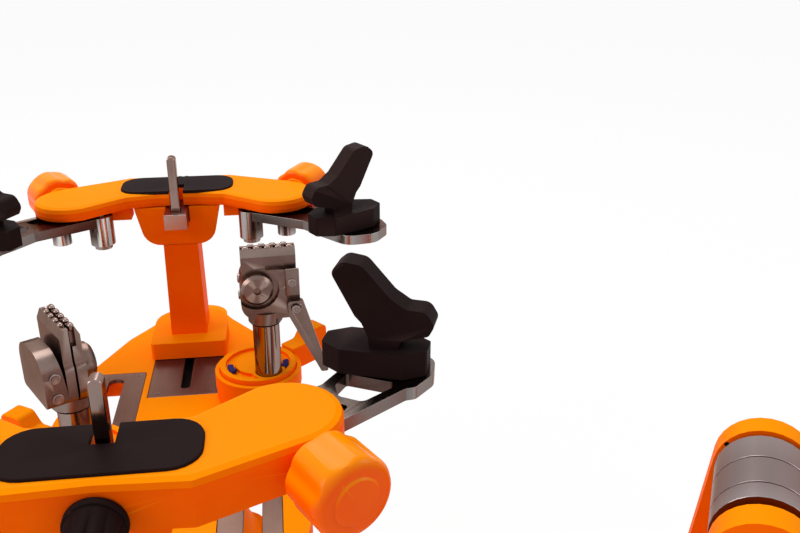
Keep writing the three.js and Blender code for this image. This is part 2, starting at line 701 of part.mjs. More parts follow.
// Made about its own axis, so that it can be turned to any position
function swivelSupport() {
  const bottom = armTop + gap;
  const corner = support.cornerRadius;
  const halfLength = support.length / 2;
  const halfWidth = support.width / 2;
  const endHalf = support.endWidth / 2;
  const side = halfLength - support.chamfer;
  const base = outline([
    [-halfLength, -endHalf, corner], [-side, -halfWidth, corner], [side, -halfWidth, corner],
    [halfLength, -endHalf, corner], [halfLength, endHalf, corner], [side, halfWidth, corner],
    [-side, halfWidth, corner], [-halfLength, endHalf, corner],
  ]);
  const hookShape = outline(hookShares.map(([x, z, radius]) => [
    support.hookReach * x + support.hookShift, support.hookHeight * z, support.hookHeight * radius,
  ]));
  const hook = across(hookShape, -support.hookThickness / 2, support.hookThickness / 2);
  const spigot = upright(
    arm.spigotRadius, bottom - support.spigotLength, bottom + support.height / 2, smallRoundSteps,
  );
  return join(raised(base, bottom, bottom + support.height), hook, spigot);
}

// String clamps: made about the base's axis with the base on the slot plate at height zero

function clampShoe() {
  const plateBottom = -slotPlate.thickness - gap;
  const flange = block(
    [-clamp.shoeWidth / 2, -clamp.shoeWidth / 2, plateBottom - gap - clamp.shoeHeight],
    [clamp.shoeWidth / 2, clamp.shoeWidth / 2, plateBottom - gap],
  );
  const neck = block(
    [-clamp.shoeNeck / 2, -clamp.shoeWidth / 2, plateBottom - clamp.shoeHeight / 2],
    [clamp.shoeNeck / 2, clamp.shoeWidth / 2, -gap],
  );
  const boreBottom = plateBottom - gap - clamp.shoeHeight - overrun;
  const bore = upright(clamp.stemRadius + gap, boreBottom, overrun, smallRoundSteps);
  return cut(join(flange, neck), bore);
}

function clampBase() {
  const top = clamp.drumTop;
  const flange = upright(clamp.flangeRadius, gap, clamp.flangeHeight, largeRoundSteps);
  const drum = upright(clamp.drumRadius, gap, top, largeRoundSteps);
  const groove = turned([
    [clamp.hubRadius, top - clamp.grooveDepth], [clamp.grooveRadius, top - clamp.grooveDepth],
    [clamp.grooveRadius, top + overrun], [clamp.hubRadius, top + overrun],
    [clamp.hubRadius, top - clamp.grooveDepth],
  ], largeRoundSteps);
  const body = cut(join(flange, drum), groove).translate(clamp.drumOffset, 0, 0);
  const stemBottom = -slotPlate.thickness - clamp.shoeHeight;
  const stem = upright(clamp.stemRadius, stemBottom, clamp.flangeHeight, smallRoundSteps);
  const boss = upright(clamp.postRadius + clamp.bossWall, clamp.flangeHeight, top);
  const bore = upright(clamp.postRadius + gap, top - clamp.boreDepth, top + overrun);
  return cut(
    join(body, stem, boss.translate(clamp.postOffset, 0, 0)),
    bore.translate(clamp.postOffset, 0, 0),
  );
}

function clampLever() {
  const bottom = clamp.flangeHeight + gap;
  const inner = clamp.drumRadius + gap;
  const start = inner + gap;
  const tipStart = clamp.leverReach - clamp.tipLength;
  const ring = turned([
    [inner, bottom], [clamp.ringRadius, bottom], [clamp.ringRadius, bottom + clamp.ringHeight],
    [inner, bottom + clamp.ringHeight], [inner, bottom],
  ], largeRoundSteps);
  const handle = across(outline([
    [start, bottom, 0], [clamp.leverReach, bottom, clamp.tipRadius],
    [clamp.leverReach, bottom + clamp.tipHeight, clamp.tipRadius],
    [tipStart, bottom + clamp.tipHeight, clamp.tipRadius],
    [tipStart - clamp.tipSlope, bottom + clamp.leverHeight, clamp.tipRadius],
    [start, bottom + clamp.leverHeight, 0],
  ]), -clamp.leverWidth / 2, clamp.leverWidth / 2);
  return join(ring, handle);
}

function clampPost() {
  const bottom = clamp.drumTop - clamp.postSink;
  return upright(clamp.postRadius, bottom, clamp.postTop + clamp.collarHeight / 2);
}

// The head is made about the post's axis with the collar's lower face at height zero; its
// jaws run along x and close along y
const jawNear = clampHead.jawGap / 2;
const jawFar = jawNear + clampHead.jawThickness;

// An outline of places along y and z, drawn out along x
function lengthwise(shape, from, to) {
  return across(shape, -to, -from).rotateZ(Math.PI / 2);
}

// The strip that grips the string, toothed along its top, which slopes down on the outside
function jawStrip(side, bottom) {
  const slopeStart = jawFar - clampHead.slopeWidth;
  const points = [
    [jawNear, bottom], [jawFar, bottom], [jawFar, clampHead.jawTop - clampHead.slopeDrop],
    [slopeStart, clampHead.jawTop], [jawNear, clampHead.jawTop],
  ];
  const shape = outline((side > 0 ? points : points.reverse()).map(([y, z]) => [side * y, z, 0]));
  const left = clampHead.left + clampHead.jawMargin;
  const right = clampHead.right - clampHead.jawMargin;
  const pitch = (right - left) / clampHead.toothCount;
  const reach = clampHead.toothDepth + jawNear;
  const teeth = Array.from({ length: clampHead.toothCount }, (_, i) => {
    const start = left + pitch * i + (side > 0 ? clampHead.toothWidth / 2 : 0);
    return block(
      [start, side > 0 ? 0 : -reach, clampHead.jawTop - clampHead.gripHeight],
      [start + pitch - clampHead.toothWidth, side > 0 ? reach : 0, clampHead.jawTop + overrun],
    );
  });
  return cut(lengthwise(shape, left, right), ...teeth);
}

// The outline of the head's body and of its moving jaw, domed at the top and rounded at the heel
function headOutline(bottom, heel) {
  return outline([
    [clampHead.left, bottom, heel],
    [clampHead.right, bottom, clampHead.cornerRadius],
    [clampHead.right, clampHead.bodyTop, clampHead.domeRadius],
    [clampHead.left, clampHead.bodyTop, clampHead.domeRadius],
  ]);
}

function clampBody() {
  const front = -clampHead.thickness;
  const { dialX, dialZ, dialRadius, dialHeight, dialRound } = clampHead;
  const collar = upright(clamp.collarRadius, 0, clamp.collarHeight);
  const shape = headOutline(clamp.collarHeight / 2, clampHead.heelRadius);
  const body = across(shape, front, -jawNear, lobeSteps);
  const atDial = (geometry) => geometry.rotateX(Math.PI / 2).translate(dialX, front, dialZ);
  const dial = atDial(turned([
    [0, -overrun], [dialRadius, -overrun], [dialRadius, dialHeight - dialRound],
    [dialRadius - dialRound / 2, dialHeight - dialRound / 2],
    [dialRadius - dialRound, dialHeight], [0, dialHeight],
  ]));
  const ringInner = dialRadius + gap;
  const ringOuter = ringInner + clampHead.ringWidth;
  const ring = atDial(turned([
    [ringInner, -clampHead.ringDepth], [ringOuter, -clampHead.ringDepth], [ringOuter, overrun],
    [ringInner, overrun], [ringInner, -clampHead.ringDepth],
  ]));
  const socketFloor = dialHeight - clampHead.socketDepth;
  const socket = atDial(turned([
    [0, socketFloor], [clampHead.socketRadius, socketFloor],
    [clampHead.socketRadius, dialHeight + overrun], [0, dialHeight + overrun],
  ], smallRoundSteps));
  const pivotEnd = front - gap * 2 - clampHead.handleThickness - clampHead.pinHeight;
  const pivot = alongY(clampHead.pivotRadius, pivotEnd, front + overrun, smallRoundSteps)
    .translate(clampHead.pivotX, 0, clampHead.pivotZ);
  const highPin = alongY(
    clampHead.pinRadius, front - clampHead.pinHeight, front + overrun, smallRoundSteps,
  ).translate(clampHead.highPinX, 0, clampHead.highPinZ);
  const bore = upright(clamp.postRadius + gap, -overrun, clamp.collarHeight / 2 + gap);
  const strip = jawStrip(-1, clampHead.bodyTop - clampHead.domeRadius);
  return cut(join(cut(body, ring), collar, strip, dial, pivot, highPin), bore, socket);
}

// The moving jaw has a body of its own, split from its strip by a wedge shaped gap
function clampJaw() {
  const bottom = clamp.collarHeight + gap;
  const outer = jawFar + clampHead.outerThickness;
  const shape = headOutline(bottom, clampHead.cornerRadius);
  const body = across(shape, jawNear, outer, lobeSteps);
  const wedge = outline([
    [jawFar, clampHead.wedgeBottom, 0], [jawFar + clampHead.wedgeWidth, clampHead.bodyTop + overrun, 0],
    [jawFar, clampHead.bodyTop + overrun, 0],
  ]);
  const groove = lengthwise(wedge, clampHead.left - overrun, clampHead.right + overrun);
  const rivets = [bottom + clampHead.rivetInset, clampHead.dialZ].map((z) => alongY(
    clampHead.pinRadius, -overrun, clampHead.pinHeight, smallRoundSteps,
  ).rotateZ(Math.PI / 2).translate(clampHead.left, (jawFar + outer) / 2, z));
  return cut(join(body, jawStrip(1, clampHead.wedgeBottom), ...rivets), groove);
}

function clampHandle() {
  const back = -clampHead.thickness - gap;
  const half = clampHead.handleWidth / 2;
  const endHalf = clampHead.handleEndWidth / 2;
  const shape = outline([
    [-half, -half, half / 2], [clampHead.handleReach - endHalf, -clampHead.handleDrop, endHalf / 2],
    [clampHead.handleReach + endHalf, -clampHead.handleDrop, endHalf / 2],
    [half, half, half / 2], [-half, half, half / 2],
  ]);
  const bar = across(shape, back - clampHead.handleThickness, back);
  const bore = alongY(
    clampHead.pivotRadius + gap, back - clampHead.handleThickness - overrun, back + overrun,
    smallRoundSteps,
  );
  return cut(bar, bore).translate(clampHead.pivotX, 0, clampHead.pivotZ);
}

// Tension head: made about the drum's axis, which runs along y

const drumLength = head.ringWidths.reduce((sum, width) => sum + width, 0);
const drumFront = head.drumBack - drumLength;
const backFace = head.drumBack + head.backGap + head.backThickness;
const frontFace = drumFront - head.frontGap - head.frontThickness;

function tensionDrum() {
  const bore = head.axleRadius + gap;
  const profile = [[bore, drumFront], [head.drumRadius, drumFront]];
  let edge = drumFront;
  [...head.ringWidths].reverse().slice(0, -1).forEach((width) => {
    edge += width;
    profile.push(
      [head.drumRadius, edge - head.grooveWidth / 2], [head.drumRadius - head.grooveDepth, edge],
      [head.drumRadius, edge + head.grooveWidth / 2],
    );
  });
  profile.push([head.drumRadius, head.drumBack], [bore, head.drumBack], [bore, drumFront]);
  const points = profile.map(([radius, y]) => new THREE.Vector2(radius, y));
  const drum = new THREE.LatheGeometry(points, largeRoundSteps);
  const socket = block(
    [head.drumRadius - weightRod.socketDepth, -gripper.width / 2, -weightRod.socketRadius],
    [head.drumRadius + gripper.length, gripper.width / 2, weightRod.socketRadius],
  );
  const rodBore = upright(weightRod.radius + gap, 0, gripper.length + overrun, smallRoundSteps)
    .rotateY(Math.PI / 2).translate(head.drumRadius, 0, 0);
  return cut(join(drum, socket), rodBore);
}

function drumAxle() {
  const back = backFace + gap;
  const front = frontFace - gap;
  return join(
    alongY(head.axleRadius, front - overrun, back + overrun, smallRoundSteps),
    alongY(head.axleHeadRadius, back, back + head.axleHeadHeight, smallRoundSteps),
    alongY(head.axleHeadRadius, front - head.axleHeadHeight, front, smallRoundSteps),
  );
}

// A cheek: an arch round the axle whose sides run down and outwards
function cheekOutline(radius) {
  const tilt = degrees(head.flare);
  const drop = head.axisHeight - head.cheekBottom;
  const footX = radius * Math.cos(tilt) + (drop + radius * Math.sin(tilt)) * Math.tan(tilt);
  const shape = new THREE.Shape();
  shape.moveTo(-footX, -drop);
  shape.lineTo(footX, -drop);
  shape.absarc(0, 0, radius, tilt, Math.PI - tilt);
  shape.closePath();
  return { shape, footX };
}

function headFrame() {
  const back = cheekOutline(head.backRadius);
  const front = cheekOutline(head.frontRadius);
  const saddleBottom = head.saddleBottom - head.axisHeight;
  const saddleTop = saddleBottom + head.baseHeight;
  const saddle = block([-back.footX, frontFace, saddleBottom], [back.footX, backFace, saddleTop]);
  const skirts = [-1, 1].map((side) => {
    const inner = track.width / 2 + gap;
    const [low, high] = sorted(side * inner, side * (inner + head.skirtThickness));
    return block(
      [-back.footX, low, head.skirtBottom - head.axisHeight], [back.footX, high, saddleBottom + overrun],
    );
  });
  const bore = alongY(head.axleRadius + gap, frontFace - overrun, backFace + overrun, smallRoundSteps);
  return cut(join(
    across(back.shape, backFace - head.backThickness, backFace, lobeSteps),
    across(front.shape, frontFace, frontFace + head.frontThickness, lobeSteps), saddle, ...skirts,
  ), bore);
}

function weightArm() {
  const start = head.drumRadius + gap;
  const end = start + weightRod.length;
  return turned([
    [0, start], [weightRod.radius, start], [weightRod.radius, end], [weightRod.capRadius, end],
    [weightRod.capRadius, end + weightRod.capLength], [0, end + weightRod.capLength],
  ], smallRoundSteps).rotateY(Math.PI / 2);
}

function slidingWeight() {
  const inner = weightRod.radius + gap;
  const start = head.drumRadius + weight.start;
  const end = start + weight.length;
  const faceRadius = weight.radius - weight.chamfer;
  return turned([
    [inner, start], [faceRadius, start], [weight.radius, start + weight.chamfer],
    [weight.radius, end - weight.chamfer], [faceRadius, end], [inner, end], [inner, start],
  ], largeRoundSteps).rotateY(Math.PI / 2);
}

function gripperPlate() {
  const bottom = weightRod.socketRadius + gap;
  return raised(slab(
    [head.drumRadius + gap, -gripper.width / 2],
    [head.drumRadius + gripper.length, gripper.width / 2], gripper.cornerRadius,
  ), bottom, bottom + gripper.thickness);
}

// Assembly

function piece(name, geometry, finish) {
  const mesh = new THREE.Mesh(geometry, new THREE.MeshStandardMaterial(finishes[finish]));
  mesh.name = name;
  return mesh;
}

function supportAt(name, side, turn) {
  const mesh = piece(name, swivelSupport(), 'blackPlastic');
  mesh.position.set(side * armSeat.x, armSeat.y, 0);
  mesh.rotation.z = degrees(turn);
  return mesh;
}

function tower(end, reach, turn, slide, supportTurns) {
  const group = new THREE.Group();
  group.position.set(0, reach, crossbarTop);
  group.rotation.z = degrees(turn);
  const carriage = new THREE.Group();
  carriage.position.y = slide;
  carriage.add(
    piece(`${end}_slider_block`, sliderBlock(), 'chrome'),
    piece(`${end}_support_rod`, supportRod(), 'chrome'),
  );
  group.add(
    carriage,
    piece(`${end}_tower_column`, towerColumn(), 'orangePaint'),
    piece(`${end}_crossbar`, towerCrossbar(), 'orangePaint'),
    piece(`${end}_crossbar_pad`, crossbarPad(), 'blackPlastic'),
    piece(`${end}_centre_knob`, towerCentreKnob(), 'blackPlastic'),
  );
  [['a', 1], ['b', -1]].forEach(([letter, side], i) => {
    group.add(
      piece(`${end}_end_knob_${letter}`, towerEndKnob(side), 'orangePaint'),
      piece(`${end}_side_arm_${letter}`, sideArm(side), 'chrome'),
      piece(`${end}_arm_pin_${letter}`, sideArmPin(side), 'steel'),
      supportAt(`${end}_swivel_support_${letter}`, side, supportTurns[i]),
    );
  });
  return group;
}

function stringClamp(end, side, { baseY, baseTurn, leverTurn, headTurn }) {
  const group = new THREE.Group();
  group.position.set(side * slotPlate.slotCentre, baseY, deckTop);
  const base = new THREE.Group();
  base.rotation.z = degrees(baseTurn);
  base.add(piece(`${end}_clamp_base`, clampBase(), 'orangePaint'));
  const post = piece(`${end}_clamp_post`, clampPost(), 'chrome');
  post.position.x = clamp.postOffset;
  const clampHeadGroup = new THREE.Group();
  clampHeadGroup.position.set(clamp.postOffset, 0, clamp.postTop);
  clampHeadGroup.rotation.z = degrees(headTurn - baseTurn);
  clampHeadGroup.add(
    piece(`${end}_clamp_body`, clampBody(), 'chrome'),
    piece(`${end}_clamp_jaw`, clampJaw(), 'chrome'),
    piece(`${end}_clamp_handle`, clampHandle(), 'chrome'),
  );
  const lever = piece(`${end}_clamp_lock_lever`, clampLever(), 'orangePaint');
  lever.position.x = clamp.drumOffset;
  lever.rotation.z = degrees(leverTurn - baseTurn);
  base.add(post, clampHeadGroup, lever);
  group.add(base, piece(`${end}_clamp_shoe`, clampShoe(), 'steel'));
  return group;
}

function turntable() {
  const group = new THREE.Group();
  group.rotation.z = degrees(turntableTurn);
  const frontGuide = piece('front_guide_plate', towerGuidePlate(), 'steel');
  frontGuide.rotation.z = Math.PI;
  group.add(
    piece('turntable_deck', turntableDeck(), 'orangePaint'),
    piece('turntable_spindle', turntableSpindle(), 'steel'),
    piece('left_slot_plate', slottedPlate(-1), 'steel'),
    piece('right_slot_plate', slottedPlate(1), 'steel'),
    piece('rear_guide_plate', towerGuidePlate(), 'steel'), frontGuide,
    tower('front', -towerReach, 0, 0, [180 - support.frontTurn, support.frontTurn]),
    tower('rear', towerReach, 180, slider.travel, [-support.turn, support.turn - 180]),
    stringClamp('left', -1, leftClamp), stringClamp('right', 1, rightClamp),
  );
  return group;
}

function tensionHead() {
  const group = new THREE.Group();
  group.position.set(head.x, 0, head.axisHeight);
  group.add(
    piece('head_frame', headFrame(), 'orangePaint'),
    piece('tension_drum', tensionDrum(), 'chrome'),
    piece('drum_axle', drumAxle(), 'steel'),
    piece('weight_rod', weightArm(), 'chrome'),
    piece('sliding_weight', slidingWeight(), 'steel'),
    piece('gripper_plate', gripperPlate(), 'steel'),
  );
  return group;
}

const machine = new THREE.Group();
machine.add(
  piece('pedestal', pedestalCasting(), 'orangePaint'),
  piece('pedestal_pad', pedestalPad(), 'rubber'),
  piece('track_beam', trackBeam(), 'steel'),
  piece('end_stand', endStandCasting(), 'orangePaint'),
  piece('end_stand_pad', endStandPad(), 'rubber'),
  piece('bearing_ring', bearingRing(), 'steel'),
  turntable(), tensionHead(),
);

export default machine;
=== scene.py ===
import json
import math

import bmesh
import bpy
import numpy as np
from mathutils import Matrix, Vector


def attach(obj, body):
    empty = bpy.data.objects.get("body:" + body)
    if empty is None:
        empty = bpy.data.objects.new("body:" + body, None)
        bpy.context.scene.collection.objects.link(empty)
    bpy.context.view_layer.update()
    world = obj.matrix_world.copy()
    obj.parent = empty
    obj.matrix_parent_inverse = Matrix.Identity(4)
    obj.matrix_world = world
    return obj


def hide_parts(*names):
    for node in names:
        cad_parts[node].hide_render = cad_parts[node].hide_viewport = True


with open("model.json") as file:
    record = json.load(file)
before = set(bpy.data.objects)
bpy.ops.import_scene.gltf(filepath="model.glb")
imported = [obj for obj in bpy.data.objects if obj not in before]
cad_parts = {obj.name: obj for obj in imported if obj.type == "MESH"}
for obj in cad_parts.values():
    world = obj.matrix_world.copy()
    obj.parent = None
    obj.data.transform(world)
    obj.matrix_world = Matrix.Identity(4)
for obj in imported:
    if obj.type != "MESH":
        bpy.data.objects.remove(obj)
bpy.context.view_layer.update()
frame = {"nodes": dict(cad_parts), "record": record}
nodes = frame["nodes"]
bodyOf = {n: body for body, group in frame["record"]["behaviour"]["bodies"].items() for n in group}
print("frame loaded:", len(nodes), "nodes")

mm = 0.001
turn = math.radians(28.6)  # the turntable's rest angle, about z
crossbarTop = 0.290
deckTop = 0.162
towerReach = 0.170
ends = ("front", "rear")
sides = (("a", 1), ("b", -1))


# Places and directions: from the turntable's own frame, and from a tower's, in millimetres
def turntablePlace(x, y, z):
    c, s = math.cos(turn), math.sin(turn)
    return np.array([(c * x - s * y) * mm, (s * x + c * y) * mm, z * mm])


def towerPlace(end, x, y, z):
    reach = towerReach / mm
    if end == "front":
        return turntablePlace(x, y - reach, z + crossbarTop / mm)
    return turntablePlace(-x, reach - y, z + crossbarTop / mm)


def towerWay(end, x, y):
    flip = 1 if end == "front" else -1
    way = turntablePlace(flip * x, flip * y, 0)
    return way / np.linalg.norm(way)


up = np.array([0.0, 0.0, 1.0])


# Materials

# A socket in a sum: arithmetic on wires and numbers adds the Math nodes that work it out
class Wire:
    def __init__(self, recipe, socket):
        self.recipe = recipe
        self.socket = socket

    def sum(self, operation, first, second):
        return self.recipe.add("Math", {"operation": operation}, {0: first, 1: second})

    def __add__(self, other):
        return self.sum("ADD", self, other)

    def __sub__(self, other):
        return self.sum("SUBTRACT", self, other)

    def __rsub__(self, other):
        return self.sum("SUBTRACT", other, self)

    def __mul__(self, other):
        return self.sum("MULTIPLY", self, other)

    __radd__ = __add__
    __rmul__ = __mul__


# One material: a Principled shader and what feeds it
class Recipe:
    def __init__(self, name, **fixed):
        self.material = bpy.data.materials.new(name)
        self.material.use_nodes = True
        self.tree = self.material.node_tree
        self.tree.nodes.clear()
        self.shader = self.tree.nodes.new("ShaderNodeBsdfPrincipled")
        self.output = self.tree.nodes.new("ShaderNodeOutputMaterial")
        self.tree.links.new(self.shader.outputs[0], self.output.inputs["Surface"])
        for socket, value in fixed.items():
            self.shader.inputs[socket.replace("_", " ")].default_value = value

    def add(self, kind, settings=None, sockets=None, output=0):
        made = self.tree.nodes.new("ShaderNode" + kind)
        for key, value in (settings or {}).items():
            if key == "stops":
                ramp = made.color_ramp
                for i, (place, tone) in enumerate(value):
                    stop = ramp.elements[i] if i < 2 else ramp.elements.new(place)
                    stop.position = place
                    stop.color = (tone, tone, tone, 1)
            else:
                setattr(made, key, value)
        for key, value in (sockets or {}).items():
            if isinstance(value, Wire):
                self.tree.links.new(value.socket, made.inputs[key])
            else:
                made.inputs[key].default_value = value
        return Wire(self, made.outputs[output]) if made.outputs else None

    def feed(self, socket, wire):
        self.tree.links.new(wire.socket, self.shader.inputs[socket])

    # The place on the piece, turned about z and stretched
    def place(self, stretch=(1, 1, 1), angle=0.0):
        spot = self.add("TexCoord", output="Object")
        settled = self.add("Mapping", sockets={"Vector": spot, "Rotation": (0, 0, -angle)})
        return self.add("Mapping", sockets={"Vector": settled, "Scale": stretch})

    def noise(self, place, scale, detail=2.0, roughness=0.5):
        return self.add("TexNoise", None, {
            "Vector": place, "Scale": scale, "Detail": detail, "Roughness": roughness})

    def ramp(self, wire, *stops):
        return self.add("ValToRGB", {"stops": stops}, {"Fac": wire})

    # For colours the Mix node has its two inputs at 6 and 7 and its output at 2
    def mix(self, share, first, second):
        return self.add("Mix", {"data_type": "RGBA"}, {0: share, 6: first, 7: second}, 2)

    # Paler edges: a share that grows with how sharply the surface bends outwards
    # On paint and plastic it stands for wear, on bare metal for a painted highlight
    def edges(self, low=0.52, high=0.6):
        sharp = self.add("NewGeometry", output="Pointiness")
        return self.ramp(sharp, (low, 0), (high, 1))

    # The share that a face looks up: it mixes painted light on tops with painted shade on sides
    def paintedLightUpward(self, low, high):
        way = self.add("TexCoord", output="Normal")
        return self.ramp(self.add("SeparateXYZ", None, {"Vector": way}, "Z"), (low, 0), (high, 1))

    # 1 for rays of the camera, of mirrors and through glass, and 0 for rays that bring light
    def seen(self):
        most = self.add("LightPath", output="Is Camera Ray")
        for kind in ("Glossy", "Transmission"):
            ray = self.add("LightPath", output=f"Is {kind} Ray")
            most = self.add("Math", {"operation": "MAXIMUM"}, {0: most, 1: ray})
        return most

    def bump(self, height, strength, distance):
        self.feed("Normal", self.add("Bump", None, {
            "Height": height, "Strength": strength, "Distance": distance}))


def rgb(red, green, blue):
    return (red, green, blue, 1)


# Paint on castings: two close tones, yellower where a face looks up as painted light and redder on
# the sides as painted shade, a cast grain that the paint follows, paler edges
def paint(name, look):
    recipe = Recipe(name, Coat_Roughness=look["coatRoughness"], Specular_IOR_Level=look["specular"])
    spot = recipe.place()
    clouds = recipe.noise(spot, look["cloudScale"], detail=3)
    grain = recipe.noise(spot, look["grainScale"], detail=4, roughness=0.6)
    body = recipe.mix(recipe.ramp(clouds, *look["cloudStops"]), look["paintedShadeSideTone"],
                      look["deepTone"])
    # Faces that look up take the lit top tone, which is painted light; the rest keep the painted
    # shade tone
    body = recipe.mix(recipe.paintedLightUpward(*look["paintedLightUpward"]), body, look["paintedLitTopTone"])
    worn = recipe.edges() * look["edgeShare"]
    recipe.feed("Base Color", recipe.mix(worn, body, look["edgeTone"]))
    rough = grain * look["grainRoughness"] + look["roughness"] + clouds * look["cloudRoughness"]
    recipe.feed("Roughness", rough)
    recipe.feed("Coat Weight", clouds * look["coatClouds"] + look["coat"])
    recipe.bump(grain + clouds * look["ripple"], look["bump"], look["bumpDepth"])
    return recipe.material


# Lit tops are yellower and sides redder in these tones: painted light and painted shade
castingLook = {
    "paintedLitTopTone": rgb(1.0, 0.268, 0.0), "paintedShadeSideTone": rgb(1.0, 0.12, 0.0),
    "deepTone": rgb(0.97, 0.1, 0.0), "paintedLightUpward": (0.1, 0.85), "cloudStops": ((0.35, 0), (0.65, 1)),
    "edgeTone": rgb(1.0, 0.29, 0.0), "edgeShare": 0.4, "specular": 0.01, "roughness": 0.36,
    "grainRoughness": 0.12, "cloudRoughness": 0.08, "coat": 0.0, "coatClouds": 0.02,
    "coatRoughness": 0.16, "cloudScale": 38.0, "grainScale": 820.0, "ripple": 0.6,
    "bump": 0.16, "bumpDepth": 0.0004,
}
knobLook = {
    **castingLook, "specular": 0.02, "roughness": 0.16, "grainRoughness": 0.05,
    "cloudRoughness": 0.05, "coat": 0.14, "coatRoughness": 0.06, "ripple": 2.0, "bump": 0.05,
    "grainScale": 420.0,
}
castingPaint = paint("orange_casting", castingLook)
knobPaint = paint("orange_knob", knobLook)


# Moulded plastic and rubber: a fine etched grain over slow clouds, edges rubbed paler
def moulded(name, look):
    recipe = Recipe(name, Specular_IOR_Level=look["specular"])
    spot = recipe.place()
    grain = recipe.noise(spot, look["grainScale"], detail=3, roughness=0.65)
    clouds = recipe.noise(spot, look["cloudScale"], detail=3)
    base = recipe.mix(recipe.ramp(clouds, *look["cloudStops"]), look["tone"], look["otherTone"])
    rubbed = recipe.edges(*look["edgeRange"]) * look["edgeShare"]
    recipe.feed("Base Color", recipe.mix(rubbed, base, look["edgeTone"]))
    rough = clouds * look["cloudRoughness"] + look["roughness"]
    recipe.feed("Roughness", rough - rubbed * look["edgePolish"])
    recipe.bump(grain, look["bump"], look["bumpDepth"])
    return recipe.material


plasticLook = {
    "tone": rgb(0.0105, 0.0052, 0.005), "otherTone": rgb(0.014, 0.0074, 0.0072),
    "edgeTone": rgb(0.045, 0.027, 0.025), "edgeShare": 0.5, "specular": 0.01, "roughness": 0.4,
    "cloudRoughness": 0.14, "edgePolish": 0.15, "edgeRange": (0.51, 0.62),
    "cloudStops": ((0.3, 0), (0.7, 1)), "grainScale": 1500.0, "cloudScale": 45.0, "bump": 0.28,
    "bumpDepth": 0.00025,
}
rubberLook = {
    **plasticLook, "tone": rgb(0.022, 0.021, 0.021), "otherTone": rgb(0.034, 0.032, 0.031),
    "roughness": 0.68, "cloudRoughness": 0.2, "grainScale": 700.0, "bump": 0.4,
}
blueLook = {
    **plasticLook, "tone": rgb(0.018, 0.014, 0.085), "otherTone": rgb(0.03, 0.022, 0.12),
    "edgeTone": rgb(0.09, 0.07, 0.25), "roughness": 0.3,
}
blackPlastic = moulded("black_moulding", plasticLook)
rubberFoot = moulded("rubber_foot", rubberLook)
bluePad = moulded("blue_pad", blueLook)


# Bare metal: a base tone with clouds, scratches drawn out along one way, brighter edges as painted
# highlight
def metal(name, look, angle=0.0):
    recipe = Recipe(name, Metallic=1.0, IOR=look["ior"], Specular_Tint=look["grazingTint"])
    clouds = recipe.noise(recipe.place(), look["cloudScale"], detail=4, roughness=0.6)
    # On the drum the drawn-out lines are broad dark bands of painted reflection, not scratches
    drawn = recipe.noise(recipe.place(look["stretch"], angle), look["lineScale"], detail=3,
                         roughness=0.6)
    base = recipe.mix(recipe.ramp(clouds, *look["cloudStops"]), look["tone"], look["otherTone"])
    lines = recipe.ramp(drawn, *look["lineStops"])
    lined = recipe.mix(lines * look["lineShare"], base, look["lineTone"])
    # Brighter edges: a painted highlight
    paintedEdgeHighlight = recipe.edges() * look["edgeShare"]
    recipe.feed("Base Color", recipe.mix(paintedEdgeHighlight, lined, look["edgeTone"]))
    rough = lines * look["lineRoughness"] + look["roughness"] + clouds * look["cloudRoughness"]
    recipe.feed("Roughness", rough - paintedEdgeHighlight * look["edgePolish"])
    recipe.bump(drawn + clouds * look["dents"], look["bump"], look["bumpDepth"])
    return recipe.material


# The plated tones are dark and reddish: partly the steel's colour, partly painted reflection of
# dark and orange surroundings
platedLook = {
    "tone": rgb(0.175, 0.113, 0.094), "otherTone": rgb(0.125, 0.078, 0.064),
    "lineTone": rgb(0.21, 0.142, 0.12), "edgeTone": rgb(0.6, 0.52, 0.47), "edgeShare": 0.35,
    "lineShare": 0.2, "roughness": 0.24, "cloudRoughness": 0.1, "lineRoughness": 0.03,
    "edgePolish": 0.08, "cloudScale": 45.0, "lineScale": 260.0, "stretch": (1, 1, 1), "dents": 1.0,
    "cloudStops": ((0.3, 0), (0.7, 1)), "lineStops": ((0.38, 0), (0.62, 1)), "ior": 2.4,
    "grazingTint": rgb(0.6, 0.45, 0.4), "bump": 0.02, "bumpDepth": 0.0003,
}
# Side arms: the near-black tone is painted dark reflection, and the strong pale edges are painted
# highlight lines
armLook = {
    **platedLook, "tone": rgb(0.075, 0.05, 0.042), "otherTone": rgb(0.052, 0.035, 0.03),
    "lineTone": rgb(0.1, 0.07, 0.06), "edgeTone": rgb(0.85, 0.8, 0.77), "edgeShare": 0.8,
    "roughness": 0.14, "cloudRoughness": 0.08,
}
# Slider fingers: the dark red-brown tone is painted reflection of the orange castings
fingerLook = {
    **platedLook, "tone": rgb(0.17, 0.05, 0.036), "otherTone": rgb(0.12, 0.034, 0.025),
    "lineTone": rgb(0.19, 0.065, 0.05), "edgeTone": rgb(0.85, 0.78, 0.75), "edgeShare": 0.7,
    "roughness": 0.16, "cloudRoughness": 0.06,
}
polishedLook = {
    **platedLook, "tone": rgb(0.25, 0.17, 0.148), "otherTone": rgb(0.19, 0.125, 0.105),
    "roughness": 0.08, "cloudRoughness": 0.08, "lineRoughness": 0.04, "cloudScale": 40.0,
    "lineScale": 500.0, "stretch": (1, 1, 0.03), "bump": 0.02, "dents": 0.4,
}
plateLook = {
    **platedLook, "tone": rgb(0.145, 0.082, 0.064), "otherTone": rgb(0.118, 0.067, 0.052),
    "lineTone": rgb(0.175, 0.105, 0.084), "edgeTone": rgb(0.4, 0.32, 0.28), "roughness": 0.32,
    "lineRoughness": 0.12, "lineScale": 900.0, "stretch": (1, 0.04, 1), "lineShare": 0.6,
    "bump": 0.06, "dents": 0.4,
}
